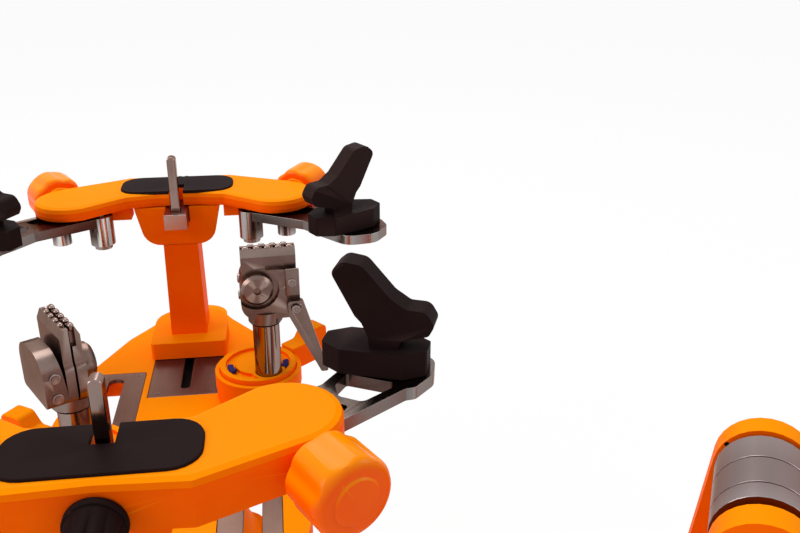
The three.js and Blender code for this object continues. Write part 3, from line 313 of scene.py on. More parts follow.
turnedLook = {
    **platedLook, "tone": rgb(0.26, 0.205, 0.19), "otherTone": rgb(0.21, 0.165, 0.152),
    "lineTone": rgb(0.36, 0.3, 0.28), "roughness": 0.24, "lineRoughness": 0.1, "lineScale": 700.0,
    "stretch": (0.03, 1, 0.03), "lineShare": 0.5, "bump": 0.08, "dents": 0.2,
}
# Drum: the dark reddish tone and the dark bands along its axis are painted reflection, the pale
# edges painted highlight
drumLook = {
    **platedLook, "tone": rgb(0.1, 0.03, 0.034), "otherTone": rgb(0.07, 0.02, 0.022),
    "lineTone": rgb(0.04, 0.01, 0.011), "edgeTone": rgb(0.75, 0.7, 0.68), "edgeShare": 0.9,
    "roughness": 0.12, "cloudRoughness": 0.1, "lineRoughness": 0.06, "cloudScale": 30.0,
    "lineScale": 60.0, "stretch": (1, 0.04, 1), "lineShare": 0.75, "bump": 0.02, "dents": 0.3,
}
trackLook = {
    **plateLook, "tone": rgb(0.3, 0.275, 0.265), "otherTone": rgb(0.26, 0.238, 0.23),
    "lineTone": rgb(0.35, 0.32, 0.31), "stretch": (0.03, 1, 1), "roughness": 0.34,
}
platedMetal = metal("plated_metal", platedLook)
armMetal = metal("side_arm_metal", armLook)
fingerMetal = metal("slider_finger_metal", fingerLook)
polishedRod = metal("polished_rod", polishedLook)
slotPlateMetal = metal("slot_plate_metal", plateLook, turn)
turnedMetal = metal("turned_metal", turnedLook)
drumMetal = metal("drum_metal", drumLook)
trackMetal = metal("track_metal", trackLook)
barMetal = metal("bar_metal", {**polishedLook, "stretch": (0.03, 1, 1)})
print("materials ready")


# Shapes

# Corners given as (radius, height, rounding) become a smooth profile: each rounding is an arc
# about the centre that lies rounding / sin(half angle) along the corner's middle line
def roundedProfile(corners, steps=6):
    points = []
    for i, (x, y, rounding) in enumerate(corners):
        here = np.array([x, y], float)
        if not rounding:
            points.append(here)
            continue
        back = np.array(corners[i - 1][:2]) - here
        ahead = np.array(corners[(i + 1) % len(corners)][:2]) - here
        back = back / np.linalg.norm(back)
        ahead = ahead / np.linalg.norm(ahead)
        half = math.acos(np.clip(back @ ahead, -1, 1)) / 2
        middle = (back + ahead) / np.linalg.norm(back + ahead)
        centre = here + middle * rounding / math.sin(half)
        start = here + back * rounding / math.tan(half) - centre
        end = here + ahead * rounding / math.tan(half) - centre
        sweep = math.atan2(start[0] * end[1] - start[1] * end[0], start @ end)
        angle = np.linspace(0, sweep, steps)[:, None]
        across = np.array([-start[1], start[0]])
        points.extend(centre + np.cos(angle) * start + np.sin(angle) * across)
    return np.array(points)


def basis(axis, hint=(0, 0, 1)):
    axis = np.array(axis, float) / np.linalg.norm(axis)
    hint = np.array(hint, float)
    if abs(axis @ hint) > 0.95:
        hint = np.array([1.0, 0.0, 0.0])
    first = np.cross(hint, axis)
    first /= np.linalg.norm(first)
    return np.stack([first, np.cross(axis, first), axis])


# A surface of revolution: point (i, j) is at radius r_i * share(angle_j, h_i) and height h_i, and
# each end closes on the axis. The axis starts at origin and runs along axis
def spun(profile, origin, axis, steps=48, share=None):
    profile = np.asarray(profile, float)
    inner = profile[1:-1]
    angle = np.arange(steps) * 2 * math.pi / steps
    radius = np.repeat(inner[:, :1], steps, 1)
    if share is not None:
        radius = radius * share(angle[None, :], inner[:, 1:])
    ring = np.stack([radius * np.cos(angle), radius * np.sin(angle),
                     np.repeat(inner[:, 1:], steps, 1)], -1).reshape(-1, 3)
    poles = np.array([[0, 0, profile[0, 1]], [0, 0, profile[-1, 1]]])
    points = np.concatenate([ring, poles]) @ basis(axis) + np.asarray(origin)
    rows = len(inner)
    i, j = np.meshgrid(np.arange(rows - 1), np.arange(steps), indexing="ij")
    k = (j + 1) % steps
    quads = np.stack([i * steps + j, i * steps + k, (i + 1) * steps + k, (i + 1) * steps + j], -1)
    j = np.arange(steps)
    k = (j + 1) % steps
    last = (rows - 1) * steps
    low = np.stack([np.full(steps, rows * steps), k, j], -1)
    high = np.stack([np.full(steps, rows * steps + 1), last + j, last + k], -1)
    return points, quads.reshape(-1, 4).tolist() + low.tolist() + high.tolist()


# A rounded block: the direction n at azimuth a and elevation e, times the rounding, plus the
# signs of its quadrant times what is left of each half size
def roundedBlock(centre, half, rounding, axes=None, steps=4):
    half = np.asarray(half, float)
    quarter = np.linspace(0, math.pi / 2, steps)
    azimuth = np.concatenate([quarter + q * math.pi / 2 for q in range(4)])
    signX = np.repeat([1, -1, -1, 1], steps)
    signY = np.repeat([1, 1, -1, -1], steps)
    elevation = np.concatenate([quarter - math.pi / 2, quarter])
    signZ = np.repeat([-1, 1], steps)
    a, e = np.meshgrid(azimuth, elevation)
    sign = np.stack(np.broadcast_arrays(signX[None, :], signY[None, :], signZ[:, None]), -1)
    way = np.stack([np.cos(e) * np.cos(a), np.cos(e) * np.sin(a), np.sin(e)], -1)
    points = (way * rounding + sign * (half - rounding)).reshape(-1, 3)
    ends = np.array([[0, 0, -half[2]], [0, 0, half[2]]])
    points = np.concatenate([points, ends])
    if axes is not None:
        points = points @ np.asarray(axes)
    rows, columns = 2 * steps, 4 * steps
    i, j = np.meshgrid(np.arange(rows - 1), np.arange(columns), indexing="ij")
    k = (j + 1) % columns
    quads = np.stack([i * columns + j, i * columns + k, (i + 1) * columns + k,
                      (i + 1) * columns + j], -1).reshape(-1, 4)
    j = np.arange(columns)
    k = (j + 1) % columns
    last = (rows - 1) * columns
    low = np.stack([np.full(columns, rows * columns), k, j], -1)
    high = np.stack([np.full(columns, rows * columns + 1), last + j, last + k], -1)
    return points + np.asarray(centre), quads.tolist() + low.tolist() + high.tolist()


# The profile of a flat disc, from its lower to its upper face
def disc(radius, low, high, lowRound, highRound, steps=6):
    corners = [(0, low, 0), (radius, low, lowRound), (radius, high, highRound), (0, high, 0)]
    return roundedProfile(corners, steps) * mm


def setFinish(obj, material):
    obj.data.materials.clear()
    obj.data.materials.append(material)


def linked(name, mesh):
    obj = bpy.data.objects.new(name, mesh)
    bpy.context.scene.collection.objects.link(obj)
    return obj


def smoothed(mesh, angle):
    mesh.shade_smooth()
    mesh.set_sharp_from_angle(angle=math.radians(angle))


seam = {"mergeDistance": 1e-6, "smoothAngle": 38}


# Surfaces gathered into one piece; doubles at poles and seams are merged
def piece(name, parts, material, body, replaced=()):
    start = 0
    points, faces = [], []
    for partPoints, partFaces in parts:
        points.append(partPoints)
        faces.extend([[v + start for v in face] for face in partFaces])
        start += len(partPoints)
    mesh = bpy.data.meshes.new(name)
    mesh.from_pydata(np.concatenate(points).tolist(), [], faces)
    work = bmesh.new()
    work.from_mesh(mesh)
    bmesh.ops.remove_doubles(work, verts=work.verts, dist=seam["mergeDistance"])
    bmesh.ops.recalc_face_normals(work, faces=work.faces)
    work.to_mesh(mesh)
    work.free()
    smoothed(mesh, seam["smoothAngle"])
    obj = linked(name, mesh)
    setFinish(obj, material)
    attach(obj, body)
    if replaced:
        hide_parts(*replaced)
    return obj


refining = {
    "mergeDistance": 2e-6, "flatAngle": math.radians(1), "roundingSteps": 2, "softeningSteps": 4,
    "facetAngles": (10, 64), "roomShare": 0.47,
}


# Edges between the facets of a curved outline get a bevel weight: the share of the widest
# softening for which their shortest neighbour leaves room
def markFacets(work, widest):
    low, high = refining["facetAngles"]
    layer = work.edges.layers.float.new("bevel_weight_edge")
    for edge in work.edges:
        if len(edge.link_faces) != 2:
            continue
        if not low < math.degrees(edge.calc_face_angle()) < high:
            continue
        room = min(
            other.calc_length() for vert in edge.verts for other in vert.link_edges
            if other is not edge)
        edge[layer] = min(1.0, refining["roomShare"] * room / widest)


# A copy of a node's mesh with its flat faces joined up and its edges rounded
def refined(node, material, width, joined, angle=19, softening=0):
    mesh = bpy.data.meshes.new(node + "_skin")
    work = bmesh.new()
    work.from_mesh(nodes[node].data)
    bmesh.ops.remove_doubles(work, verts=work.verts, dist=refining["mergeDistance"])
    if joined:
        bmesh.ops.dissolve_limit(
            work, angle_limit=refining["flatAngle"], verts=work.verts, edges=work.edges)
    bmesh.ops.recalc_face_normals(work, faces=work.faces)
    if softening:
        markFacets(work, softening * mm)
    work.to_mesh(mesh)
    work.free()
    if "custom_normal" in mesh.attributes:
        mesh.attributes.remove(mesh.attributes["custom_normal"])
    obj = linked(node + "_skin", mesh)
    smoothed(mesh, angle)
    setFinish(obj, material)
    if softening:
        soft = obj.modifiers.new("softening", "BEVEL")
        soft.width = softening * mm
        soft.segments = refining["softeningSteps"]
        soft.limit_method = "WEIGHT"
        soft.use_clamp_overlap = False
    bevel = obj.modifiers.new("rounding", "BEVEL")
    bevel.width = width * mm
    bevel.segments = refining["roundingSteps"]
    bevel.limit_method = "ANGLE"
    bevel.angle_limit = math.radians(angle)
    bevel.use_clamp_overlap = True
    bevel.miter_outer = "MITER_ARC"
    weighted = obj.modifiers.new("shading", "WEIGHTED_NORMAL")
    weighted.keep_sharp = True
    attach(obj, bodyOf[node])
    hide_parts(node)
    return obj


# Castings, plates and turned parts keep the model's shape, with rounded edges: widths in
# millimetres and, for outlines of few facets, the angle in degrees below which an edge is smooth
edgeKinds = {
    "deck": {"width": 1.2}, "casting": {"width": 1.0}, "crossbar": {"width": 0.6},
    "plate": {"width": 0.35}, "plated": {"width": 0.5}, "fine": {"width": 0.25},
    "rubber": {"width": 1.0}, "weight": {"width": 0.6}, "arm": {"width": 0.5, "angle": 38},
    "plastic": {"width": 1.4, "angle": 38, "softening": 3.0},
}
skins = [
    ("turntable_deck", castingPaint, "deck"), ("pedestal", castingPaint, "casting"),
    ("end_stand", castingPaint, "casting"), ("head_frame", castingPaint, "casting"),
    ("pedestal_pad", rubberFoot, "rubber"), ("end_stand_pad", rubberFoot, "rubber"),
    ("left_slot_plate", slotPlateMetal, "plate"), ("right_slot_plate", slotPlateMetal, "plate"),
    ("front_guide_plate", slotPlateMetal, "plate"), ("rear_guide_plate", slotPlateMetal, "plate"),
    ("track_beam", trackMetal, "plate"), ("turntable_spindle", turnedMetal, "plate"),
    ("bearing_ring", turnedMetal, "plate"), ("drum_axle", turnedMetal, "plated"),
    ("tension_drum", drumMetal, "fine"), ("weight_rod", barMetal, "fine"),
    ("sliding_weight", barMetal, "weight"), ("gripper_plate", platedMetal, "plated"),
]
for end in ends:
    skins += [
        (f"{end}_tower_column", castingPaint, "casting"),
        (f"{end}_crossbar", castingPaint, "crossbar"),
        (f"{end}_crossbar_pad", blackPlastic, "plate"),
        (f"{end}_slider_block", fingerMetal, "plated"),
        (f"{end}_support_rod", polishedRod, "plated"),
    ]
    for letter, side in sides:
        skins += [
            (f"{end}_side_arm_{letter}", armMetal, "arm"),
            (f"{end}_arm_pin_{letter}", turnedMetal, "fine"),
            (f"{end}_swivel_support_{letter}", blackPlastic, "plastic"),
        ]
for name in ("left", "right"):
    skins += [
        (f"{name}_clamp_shoe", platedMetal, "fine"),
        (f"{name}_clamp_base", castingPaint, "casting"),
        (f"{name}_clamp_lock_lever", castingPaint, "casting"),
        (f"{name}_clamp_post", polishedRod, "fine"),
        (f"{name}_clamp_body", platedMetal, "fine"),
        (f"{name}_clamp_jaw", platedMetal, "fine"),
        (f"{name}_clamp_handle", platedMetal, "plated"),
    ]
for node, material, kind in skins:
    joined = not node.endswith(("clamp_body", "clamp_jaw"))  # their shallow dips stay as modelled
    refined(node, material, joined=joined, **edgeKinds[kind])
print("skins made:", len(skins))


# End knobs: a round grip with soft flutes that fade out towards both ends
endKnob = {
    "axisX": 84.065, "axisY": -2.892, "axisDrop": -12, "wayX": 0.469472, "wayY": -0.882948,
    "inside": -9.5, "spindle": 3.5, "start": 1.0, "neck": 11.5, "neckEnd": 4.0, "radius": 18.2,
    "end": 31.0, "backRound": 4.0, "edgeRound": 5.0, "faceRadius": 9.8, "faceRise": 1.1,
    "spindleRound": 0.5, "neckRound": 0.6, "heelRound": 0.4, "lip": 0.8, "lipRound": 0.5,
    "faceRound": 0.6, "arcSteps": 8, "turnSteps": 96,
    "flutes": 7, "fluteDepth": 0.1, "fadeFrom": 3.0, "fadeTo": 29.0,
}


# The grip's radius share: each flute is a squared cosine round the axis, deepest halfway along
def fluteShare(angle, height):
    low, high = endKnob["fadeFrom"] * mm, endKnob["fadeTo"] * mm
    along = np.clip((height - low) / (high - low), 0, 1)
    dip = (0.5 + 0.5 * np.cos(angle * endKnob["flutes"])) ** 2
    return 1 - endKnob["fluteDepth"] * dip * np.sin(math.pi * along) ** 0.5


def endKnobProfile():
    k = endKnob
    face = k["end"] + k["faceRise"]
    corners = [
        (0, k["inside"], 0), (k["spindle"], k["inside"], k["spindleRound"]),
        (k["spindle"], k["start"], 0), (k["neck"], k["start"], k["neckRound"]),
        (k["neck"], k["neckEnd"], k["heelRound"]), (k["radius"], k["neckEnd"], k["backRound"]),
        (k["radius"], k["end"], k["edgeRound"]),
        (k["faceRadius"] + k["lip"], k["end"], k["lipRound"]),
        (k["faceRadius"], face, k["faceRound"]), (0, face, 0),
    ]
    return roundedProfile(corners, k["arcSteps"]) * mm


for end in ends:
    for letter, side in sides:
        way = towerWay(end, side * endKnob["wayX"], endKnob["wayY"])
        foot = towerPlace(end, side * endKnob["axisX"], endKnob["axisY"], endKnob["axisDrop"])
        node = f"{end}_end_knob_{letter}"
        grip = spun(endKnobProfile(), foot, way, endKnob["turnSteps"], fluteShare)
        piece(node + "_grip", [grip], knobPaint, bodyOf[node], [node])

# Centre knobs: a flange, deep lobes with a domed end, and a steel cap in the middle
centreKnob = {
    "drop": -17.0, "wall": 23.5, "screw": 3.0, "screwIn": 26.5, "flange": 12.5, "flangeDepth": 4.0,
    "grip": 11.4, "gripLength": 17.0, "lobes": 10, "lobeDepth": 0.17, "lobePower": 0.7,
    "lobeStart": 0.5, "lobeFade": 2.5, "cap": 4.2, "capRise": 0.8, "capSink": 1.2, "capRound": 0.4,
    "capRoom": 0.6, "fineRound": 0.5, "flangeRound": 0.7, "flangeLip": 1.0, "tipRound": 2.6,
    "cornerRound": 0.1, "dipRound": 0.3, "arcSteps": 7, "turnSteps": 120, "capSteps": 32,
}


# The grip's radius share: lobes are a flattened cosine, and they fade in behind the flange
def lobeShare(angle, height):
    k = centreKnob
    low = (k["flangeDepth"] + k["lobeStart"]) * mm
    mask = np.clip((height - low) / (k["lobeFade"] * mm), 0, 1)
    wave = 0.5 - 0.5 * np.abs(np.cos(angle * k["lobes"] / 2)) ** k["lobePower"]
    return 1 - 2 * k["lobeDepth"] * wave * mask


def centreKnobProfile():
    k = centreKnob
    tip = k["flangeDepth"] + k["gripLength"]
    corners = [
        (0, -k["screwIn"], 0), (k["screw"], -k["screwIn"], k["fineRound"]), (k["screw"], 0, 0),
        (k["flange"], 0, k["flangeRound"]), (k["flange"], k["flangeDepth"], k["flangeLip"]),
        (k["grip"], k["flangeDepth"], k["cornerRound"]), (k["grip"], tip, k["tipRound"]),
        (k["cap"] + 2 * k["capRoom"], tip, k["fineRound"]),
        (k["cap"] + k["capRoom"], tip - k["capSink"], k["dipRound"]), (0, tip - k["capSink"], 0),
    ]
    return roundedProfile(corners, k["arcSteps"]) * mm


for end in ends:
    node = f"{end}_centre_knob"
    way = towerWay(end, 0, -1)
    foot = towerPlace(end, 0, -centreKnob["wall"], centreKnob["drop"])
    grip = spun(centreKnobProfile(), foot, way, centreKnob["turnSteps"], lobeShare)
    piece(node + "_grip", [grip], blackPlastic, bodyOf[node], [node])
    seat = centreKnob["flangeDepth"] + centreKnob["gripLength"] - centreKnob["capSink"]
    seat += centreKnob["cornerRound"]
    cap = disc(centreKnob["cap"], 0, centreKnob["capRise"], centreKnob["cornerRound"],
               centreKnob["capRound"])
    cap = spun(cap, foot + way * seat * mm, way, centreKnob["capSteps"])
    piece(node + "_cap", [cap], turnedMetal, bodyOf[node])
print("knobs made")

# Screws: a low head with a hexagon socket that narrows a little towards its floor
screw = {
    "round": 0.35, "roundShare": 0.4, "socketShare": 0.5, "depthShare": 0.6, "sunkShare": 0.5,
    "waistShare": 0.9, "waistRound": 0.05, "seatRound": 0.02, "mouthRound": 0.08,
    "draftShare": 0.96, "socketRows": 9, "arcSteps": 4, "turnSteps": 36,
}


def socketScrew(place, way, radius, height):
    s = screw
    socket = radius * s["socketShare"]
    floor = height * (1 - s["depthShare"])
    sunk = -height * s["sunkShare"]
    profile = roundedProfile([
        (0, sunk, 0), (radius * s["waistShare"], sunk, s["waistRound"]),
        (radius, 0, s["seatRound"]), (radius, height, min(s["round"], height * s["roundShare"])),
        (socket, height, s["mouthRound"]), (socket * s["draftShare"], floor, s["waistRound"]),
        (0, floor, 0)], s["arcSteps"]) * mm

    # The radius share of a hexagon's side, on the rows of the profile that line the socket
    def hexagon(angle, depth):
        sixth = math.pi / 3
        flat = math.cos(sixth / 2) / np.cos((angle + sixth / 2) % sixth - sixth / 2)
        rows = len(profile) - 2
        lining = np.arange(rows)[:, None] >= rows - s["socketRows"]
        return np.where(lining & (depth >= 0), flat, 1.0)

    return spun(profile, place, way, s["turnSteps"], hexagon)


plateScrew = {
    "radius": 1.7, "height": 0.25, "slotX": (35, 65), "slotY": (-117, 117),
    "guideX": (-19, 19), "guideY": (89, 201),
}
slotSpots = [(x, y) for x in plateScrew["slotX"] for y in plateScrew["slotY"]]
guideSpots = [(x, y) for x in plateScrew["guideX"] for y in plateScrew["guideY"]]
platePlaces = {
    "left_slot_plate": [(-x, y) for x, y in slotSpots], "right_slot_plate": slotSpots,
    "front_guide_plate": [(x, -y) for x, y in guideSpots], "rear_guide_plate": guideSpots,
}
for node, places in platePlaces.items():
    parts = [
        socketScrew(turntablePlace(x, y, deckTop / mm), up, plateScrew["radius"],
                    plateScrew["height"])
        for x, y in places
    ]
    piece(f"{node}_screws", parts, platedMetal, "turntable")

# A small dark disc in the tension head's far cheek, at the rim
pin = {
    "axle": (335.0, 26.1, 226.0), "reach": 22.8, "angle": math.radians(147), "radius": 1.3,
    "inside": 0.6, "rise": 0.3, "insideRound": 0.1, "topRound": 0.15, "turnSteps": 24,
}
offset = np.array([math.cos(pin["angle"]), 0, math.sin(pin["angle"])]) * pin["reach"]
spot = (np.array(pin["axle"]) + offset) * mm
profile = disc(pin["radius"], -pin["inside"], pin["rise"], pin["insideRound"], pin["topRound"])
piece("head_frame_dark_disc", [spun(profile, spot, (0, -1, 0), pin["turnSteps"])], blackPlastic,
      bodyOf["head_frame"])

# Dark strips lie in the pockets under the guide plates' slots: painted shade at the pockets' floor
pocketShade = {"half": 8.0, "from": 94.5, "to": 197.5, "floor": 151.05, "height": 0.8, "round": 0.3}
turntableAxes = [turntablePlace(1, 0, 0) / mm, turntablePlace(0, 1, 0) / mm, up]
for name, side in (("front", -1), ("rear", 1)):
    half = np.array([pocketShade["half"], (pocketShade["to"] - pocketShade["from"]) / 2, pocketShade["height"] / 2])
    strip = roundedBlock(
        turntablePlace(0, side * (pocketShade["from"] + half[1]), pocketShade["floor"] + half[2]),
        half * mm, pocketShade["round"] * mm, turntableAxes)
    piece(f"{name}_slot_painted_shade", [strip], rubberFoot, "turntable")

# Pedestal and end stand are bolted down at their corners
standScrew = {
    "radius": 6.5, "height": 5.0, "washer": 9.5, "washerRise": 1.4, "washerSink": 0.4,
    "washerRound": 0.4, "lowRound": 0.1, "turnSteps": 36, "pedestalX": (-44, 44),
    "pedestalTop": 30, "endStandX": 392, "endStandTop": 44.7, "sideY": (-68, 68),
}
standPlaces = {
    "pedestal": [(x, y, standScrew["pedestalTop"]) for x in standScrew["pedestalX"]
                 for y in standScrew["sideY"]],
    "end_stand": [(standScrew["endStandX"], y, standScrew["endStandTop"])
                  for y in standScrew["sideY"]],
}
for node, places in standPlaces.items():
    parts = []
    for x, y, z in places:
        spot = np.array([x, y, z]) * mm
        washer = disc(standScrew["washer"], -standScrew["washerSink"], standScrew["washerRise"],
                      standScrew["lowRound"], standScrew["washerRound"])
        parts.append(spun(washer, spot, up, standScrew["turnSteps"]))
        parts.append(socketScrew(spot + up * standScrew["washerRise"] * mm, up,
                                 standScrew["radius"], standScrew["height"]))
    piece(node + "_bolts", parts, turnedMetal, "base")
print("screws made")

# A rounded bar bent round a centre: at angle a its rounded section stands radius + r from the
# axis, and towards each end the section draws in as sqrt(1 - u^2) of the rounding
def bentBar(centre, radius, half, rounding, middle, axes, steps=18, around=16):
    turns = np.linspace(0, 2 * math.pi, around, endpoint=False)
    reach = half[0] / radius
    angle = np.linspace(-reach, reach, steps)
    u = np.clip((np.abs(angle) * radius - half[0] + rounding) / rounding, 0, 1)
    inset = rounding * (1 - np.sqrt(1 - u ** 2))
    side = np.sign(np.cos(turns)) * (half[1] - rounding) + rounding * np.cos(turns)
    rise = np.sign(np.sin(turns)) * (half[2] - rounding) + rounding * np.sin(turns)
    wide = radius + side[None, :] * (1 - inset / half[1])[:, None]
    high = rise[None, :] * (1 - inset / half[2])[:, None]
    a = (angle + middle)[:, None]
    points = np.stack([wide * np.cos(a), wide * np.sin(a), high], -1).reshape(-1, 3)
    i, j = np.meshgrid(np.arange(steps - 1), np.arange(around), indexing="ij")
    k = (j + 1) % around
    faces = np.stack([i * around + j, i * around + k, (i + 1) * around + k,
                      (i + 1) * around + j], -1).reshape(-1, 4).tolist()
    faces += [list(range(around))[::-1], list(range((steps - 1) * around, steps * around))]
    return points @ np.asarray(axes) * mm + np.asarray(centre), faces


# String clamps: blue wear pads in the base's groove, and on the head knuckles along the jaws, ring
# screws in the end of the moving jaw, a link plate with its screws and a dark seal at its foot
clampPlaces = {
    "left": {"stem": (-50, -2.2), "baseTurn": -82.5, "headTurn": 121},
    "right": {"stem": (50, 87.6), "baseTurn": -60, "headTurn": 4},
}
clampTrim = {
    "drumOffset": 6.5, "postOffset": 21.4, "padAngles": (-100, 48), "padReach": 19.3,
    "padHalf": (5.2, 2.2, 1.5), "padRound": 1.2, "padZ": 185.4,
    "headZ": 226, "knuckleZ": 51.2, "knuckleStart": -10.45, "knucklePitch": 7.1,
    "bodyKnuckles": 5, "jawKnuckles": 4, "knuckleY": 2.1, "knuckleHalf": (2.3, 1.7, 2.4),
    "knuckleRound": 1.6,
    "ringScrewX": -15.5, "ringScrewY": 11.6, "ringScrewZ": (13.7, 26.0), "ringScrewRadius": 3.1,
    "linkPlace": (18.3, -10.0, 29.5), "linkHalf": (4.6, 0.9, 9.8), "linkRound": 0.8,
    "linkScrew": (18.0, -10.8, 29.5), "pivotScrew": (19.5, -16.2, 12.8), "faceScrewRadius": 2.9,
    "sealRadius": 10.4, "sealBottom": -1.8, "sealTop": 0.2, "sealRound": 0.5, "sealTopRound": 0.3,
    "sealArcSteps": 4, "sealTurnSteps": 48, "blockSteps": 5,
}
ringScrewForm = {
    "sunk": 1.0, "rim": 0.9, "rimRound": 0.3, "dip": 0.2, "dipShare": 0.68, "bossShare": 0.36,
    "bossTopShare": 0.3, "boss": 0.7, "bossRound": 0.2, "cornerRound": 0.1, "arcSteps": 4,
    "turnSteps": 36,
}


# A screw head with a raised rim and a small boss in its ring shaped dip
def ringScrew(place, way, radius):
    f = ringScrewForm
    corner = f["cornerRound"]
    dip, boss = radius * f["dipShare"], radius * f["bossShare"]
    profile = roundedProfile([
        (0, -f["sunk"], 0), (radius, -f["sunk"], corner), (radius, f["rim"], f["rimRound"]),
        (dip, f["rim"], corner), (dip, f["dip"], corner), (boss, f["dip"], corner),
        (radius * f["bossTopShare"], f["boss"], f["bossRound"]), (0, f["boss"], 0)],
        f["arcSteps"]) * mm
    return spun(profile, place, way, f["turnSteps"])


# A clamp's drum and post, as places on the turntable, and the axes of its head
def clampFrame(spots):
    away = math.radians(spots["baseTurn"])
    stem = np.array(spots["stem"], float)
    out = np.array([math.cos(away), math.sin(away)])
    post = stem + out * clampTrim["postOffset"]
    drum = stem + out * clampTrim["drumOffset"]
    along = math.radians(spots["headTurn"])
    wayX = turntablePlace(math.cos(along), math.sin(along), 0) / mm
    wayY = np.cross(up, wayX)
    return drum, post, np.stack([wayX, wayY, up])


# A place on a clamp's head, from millimetres along the head's own axes
def onHead(head, headAxes, x, y, z):
    return head + np.array([x, y, z]) * mm @ headAxes


# Knuckles stand in a row along each jaw, and those of one jaw meet the other's gaps
def knuckleRow(head, headAxes, side, count):
    trim = clampTrim
    start = trim["knuckleStart"] + (trim["knucklePitch"] / 2 if side > 0 else 0)
    return [
        roundedBlock(
            onHead(head, headAxes, start + i * trim["knucklePitch"], side * trim["knuckleY"],
                   trim["knuckleZ"]),
            np.array(trim["knuckleHalf"]) * mm, trim["knuckleRound"] * mm, headAxes,
            trim["blockSteps"])
        for i in range(count)
    ]


def clampDressing(name, spots):
    trim = clampTrim
    base, bodyNode, jaw = (f"{name}_clamp_{part}" for part in ("base", "body", "jaw"))
    drum, post, headAxes = clampFrame(spots)
    head = turntablePlace(post[0], post[1], trim["headZ"])
    centre = turntablePlace(drum[0], drum[1], trim["padZ"])
    pads = [
        bentBar(centre, trim["padReach"], trim["padHalf"], trim["padRound"],
                math.radians(spots["baseTurn"] + offset) + turn, np.eye(3))
        for offset in trim["padAngles"]
    ]
    piece(f"{name}_clamp_pads", pads, bluePad, bodyOf[base])

    piece(bodyNode + "_knuckles", knuckleRow(head, headAxes, -1, trim["bodyKnuckles"]),
          polishedRod, bodyOf[bodyNode])
    piece(jaw + "_knuckles", knuckleRow(head, headAxes, 1, trim["jawKnuckles"]),
          polishedRod, bodyOf[jaw])
    ringScrews = [
        ringScrew(onHead(head, headAxes, trim["ringScrewX"], trim["ringScrewY"], z),
                  -headAxes[0], trim["ringScrewRadius"])
        for z in trim["ringScrewZ"]
    ]
    piece(f"{name}_clamp_ring_screws", ringScrews, turnedMetal, bodyOf[jaw])

    link = roundedBlock(
        onHead(head, headAxes, *trim["linkPlace"]), np.array(trim["linkHalf"]) * mm,
        trim["linkRound"] * mm, headAxes, trim["blockSteps"])
    piece(f"{name}_clamp_link", [link], platedMetal, bodyOf[bodyNode])
    faceScrews = [
        ringScrew(onHead(head, headAxes, *trim[spot]), -headAxes[1], trim["faceScrewRadius"])
        for spot in ("linkScrew", "pivotScrew")
    ]
    piece(f"{name}_clamp_face_screws", faceScrews, turnedMetal, bodyOf[bodyNode])
    seal = disc(trim["sealRadius"], trim["sealBottom"], trim["sealTop"], trim["sealRound"],
                trim["sealTopRound"], trim["sealArcSteps"])
    piece(f"{name}_clamp_seal", [spun(seal, head, up, trim["sealTurnSteps"])], blackPlastic,
          bodyOf[bodyNode])


for name, spots in clampPlaces.items():
    clampDressing(name, spots)
print("clamp trim made")


# Stage, light and camera
stage = {
    "floorHalf": 9.0, "floorGlow": 0.93, "floorRoughness": 0.85,
    "floorTone": rgb(0.88, 0.88, 0.88), "white": rgb(1, 1, 1), "worldStrength": 0.5,
    "keyPower": 19.0, "keySize": 1.5, "keyPlace": (-0.5, 0.75, 1.7),
    "fillPower": 16.0, "fillSize": 1.2, "fillPlace": (-1.1, -1.3, 1.2),
    "rimPower": 5.0, "rimSize": 0.8, "rimPlace": (1.4, 0.5, 1.0),
    "aim": (0.0, 0.0, 0.2),
}


# The floor glows to the eye, with a share left for the object's shadow
def stageMaterial():
    recipe = Recipe("pale_floor", Roughness=stage["floorRoughness"], Base_Color=stage["floorTone"])
    glow = recipe.add("Emission", None, {"Color": stage["white"], "Strength": 1.0})
    mixed = recipe.add("MixShader", None, {
        0: recipe.seen() * stage["floorGlow"], 1: Wire(recipe, recipe.shader.outputs[0]), 2: glow})
    recipe.tree.links.new(mixed.socket, recipe.output.inputs["Surface"])
    return recipe.material


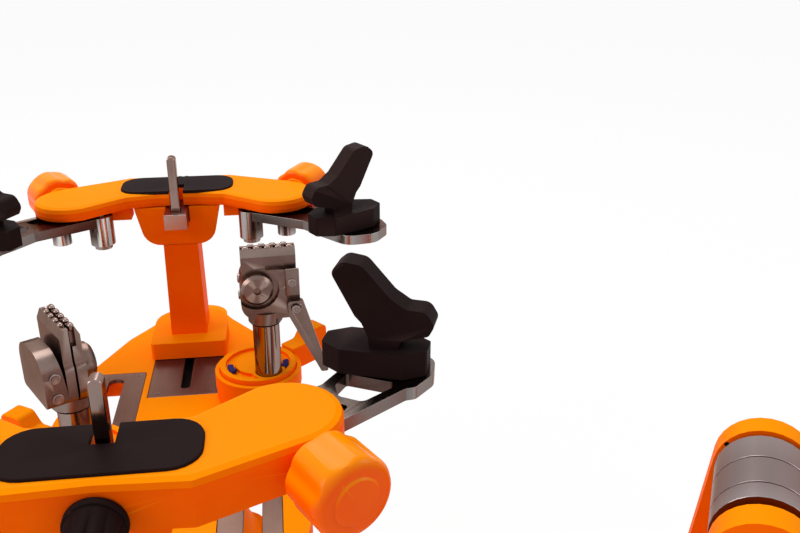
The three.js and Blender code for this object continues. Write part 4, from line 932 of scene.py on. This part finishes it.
# The sky's nodes, made by the same method: soft light, and plain white to the eye
class Sky(Recipe):
    def __init__(self, world):
        world.use_nodes = True
        self.tree = world.node_tree
        self.tree.nodes.clear()


floorMesh = bpy.data.meshes.new("floor")
reach = stage["floorHalf"]
floorMesh.from_pydata(
    [(-reach, -reach, 0), (reach, -reach, 0), (reach, reach, 0), (-reach, reach, 0)],
    [], [(0, 1, 2, 3)])
floor = linked("floor", floorMesh)
setFinish(floor, stageMaterial())

world = bpy.data.worlds.new("studio")
bpy.context.scene.world = world
sky = Sky(world)
light = sky.add("Background", None, {"Color": stage["white"], "Strength": stage["worldStrength"]})
white = sky.add("Background", None, {"Color": stage["white"], "Strength": 1.0})
both = sky.add("MixShader", None, {0: sky.seen(), 1: light, 2: white})
sky.add("OutputWorld", None, {"Surface": both})


def lamp(name, place, power, size):
    data = bpy.data.lights.new(name, "AREA")
    data.energy = power
    data.shape = "DISK"
    data.size = size
    obj = bpy.data.objects.new(name, data)
    bpy.context.scene.collection.objects.link(obj)
    obj.location = place
    obj.rotation_euler = (Vector(stage["aim"]) - Vector(place)).to_track_quat("-Z", "Y").to_euler()


for name in ("key", "fill", "rim"):
    lamp(name, stage[name + "Place"], stage[name + "Power"], stage[name + "Size"])

view = {
    "place": (0.2974, -0.3866, 0.4967), "way": (-0.3259, 0.8598, -0.3931), "roll": 0.15,
    "focal": 40.55, "sensor": 36.0, "near": 0.01, "far": 50,
}
lens = bpy.data.cameras.new("camera")
lens.sensor_fit = "HORIZONTAL"
lens.sensor_width = view["sensor"]
lens.lens = view["focal"]
lens.clip_start = view["near"]
lens.clip_end = view["far"]
camera = bpy.data.objects.new("camera", lens)
bpy.context.scene.collection.objects.link(camera)
turned = Vector(view["way"]).to_track_quat("-Z", "Y").to_matrix().to_4x4()
roll = Matrix.Rotation(math.radians(view["roll"]), 4, "Z")
camera.matrix_world = Matrix.Translation(view["place"]) @ turned @ roll
bpy.context.scene.camera = camera
bpy.context.scene.view_settings.view_transform = "Standard"
print("stage ready")
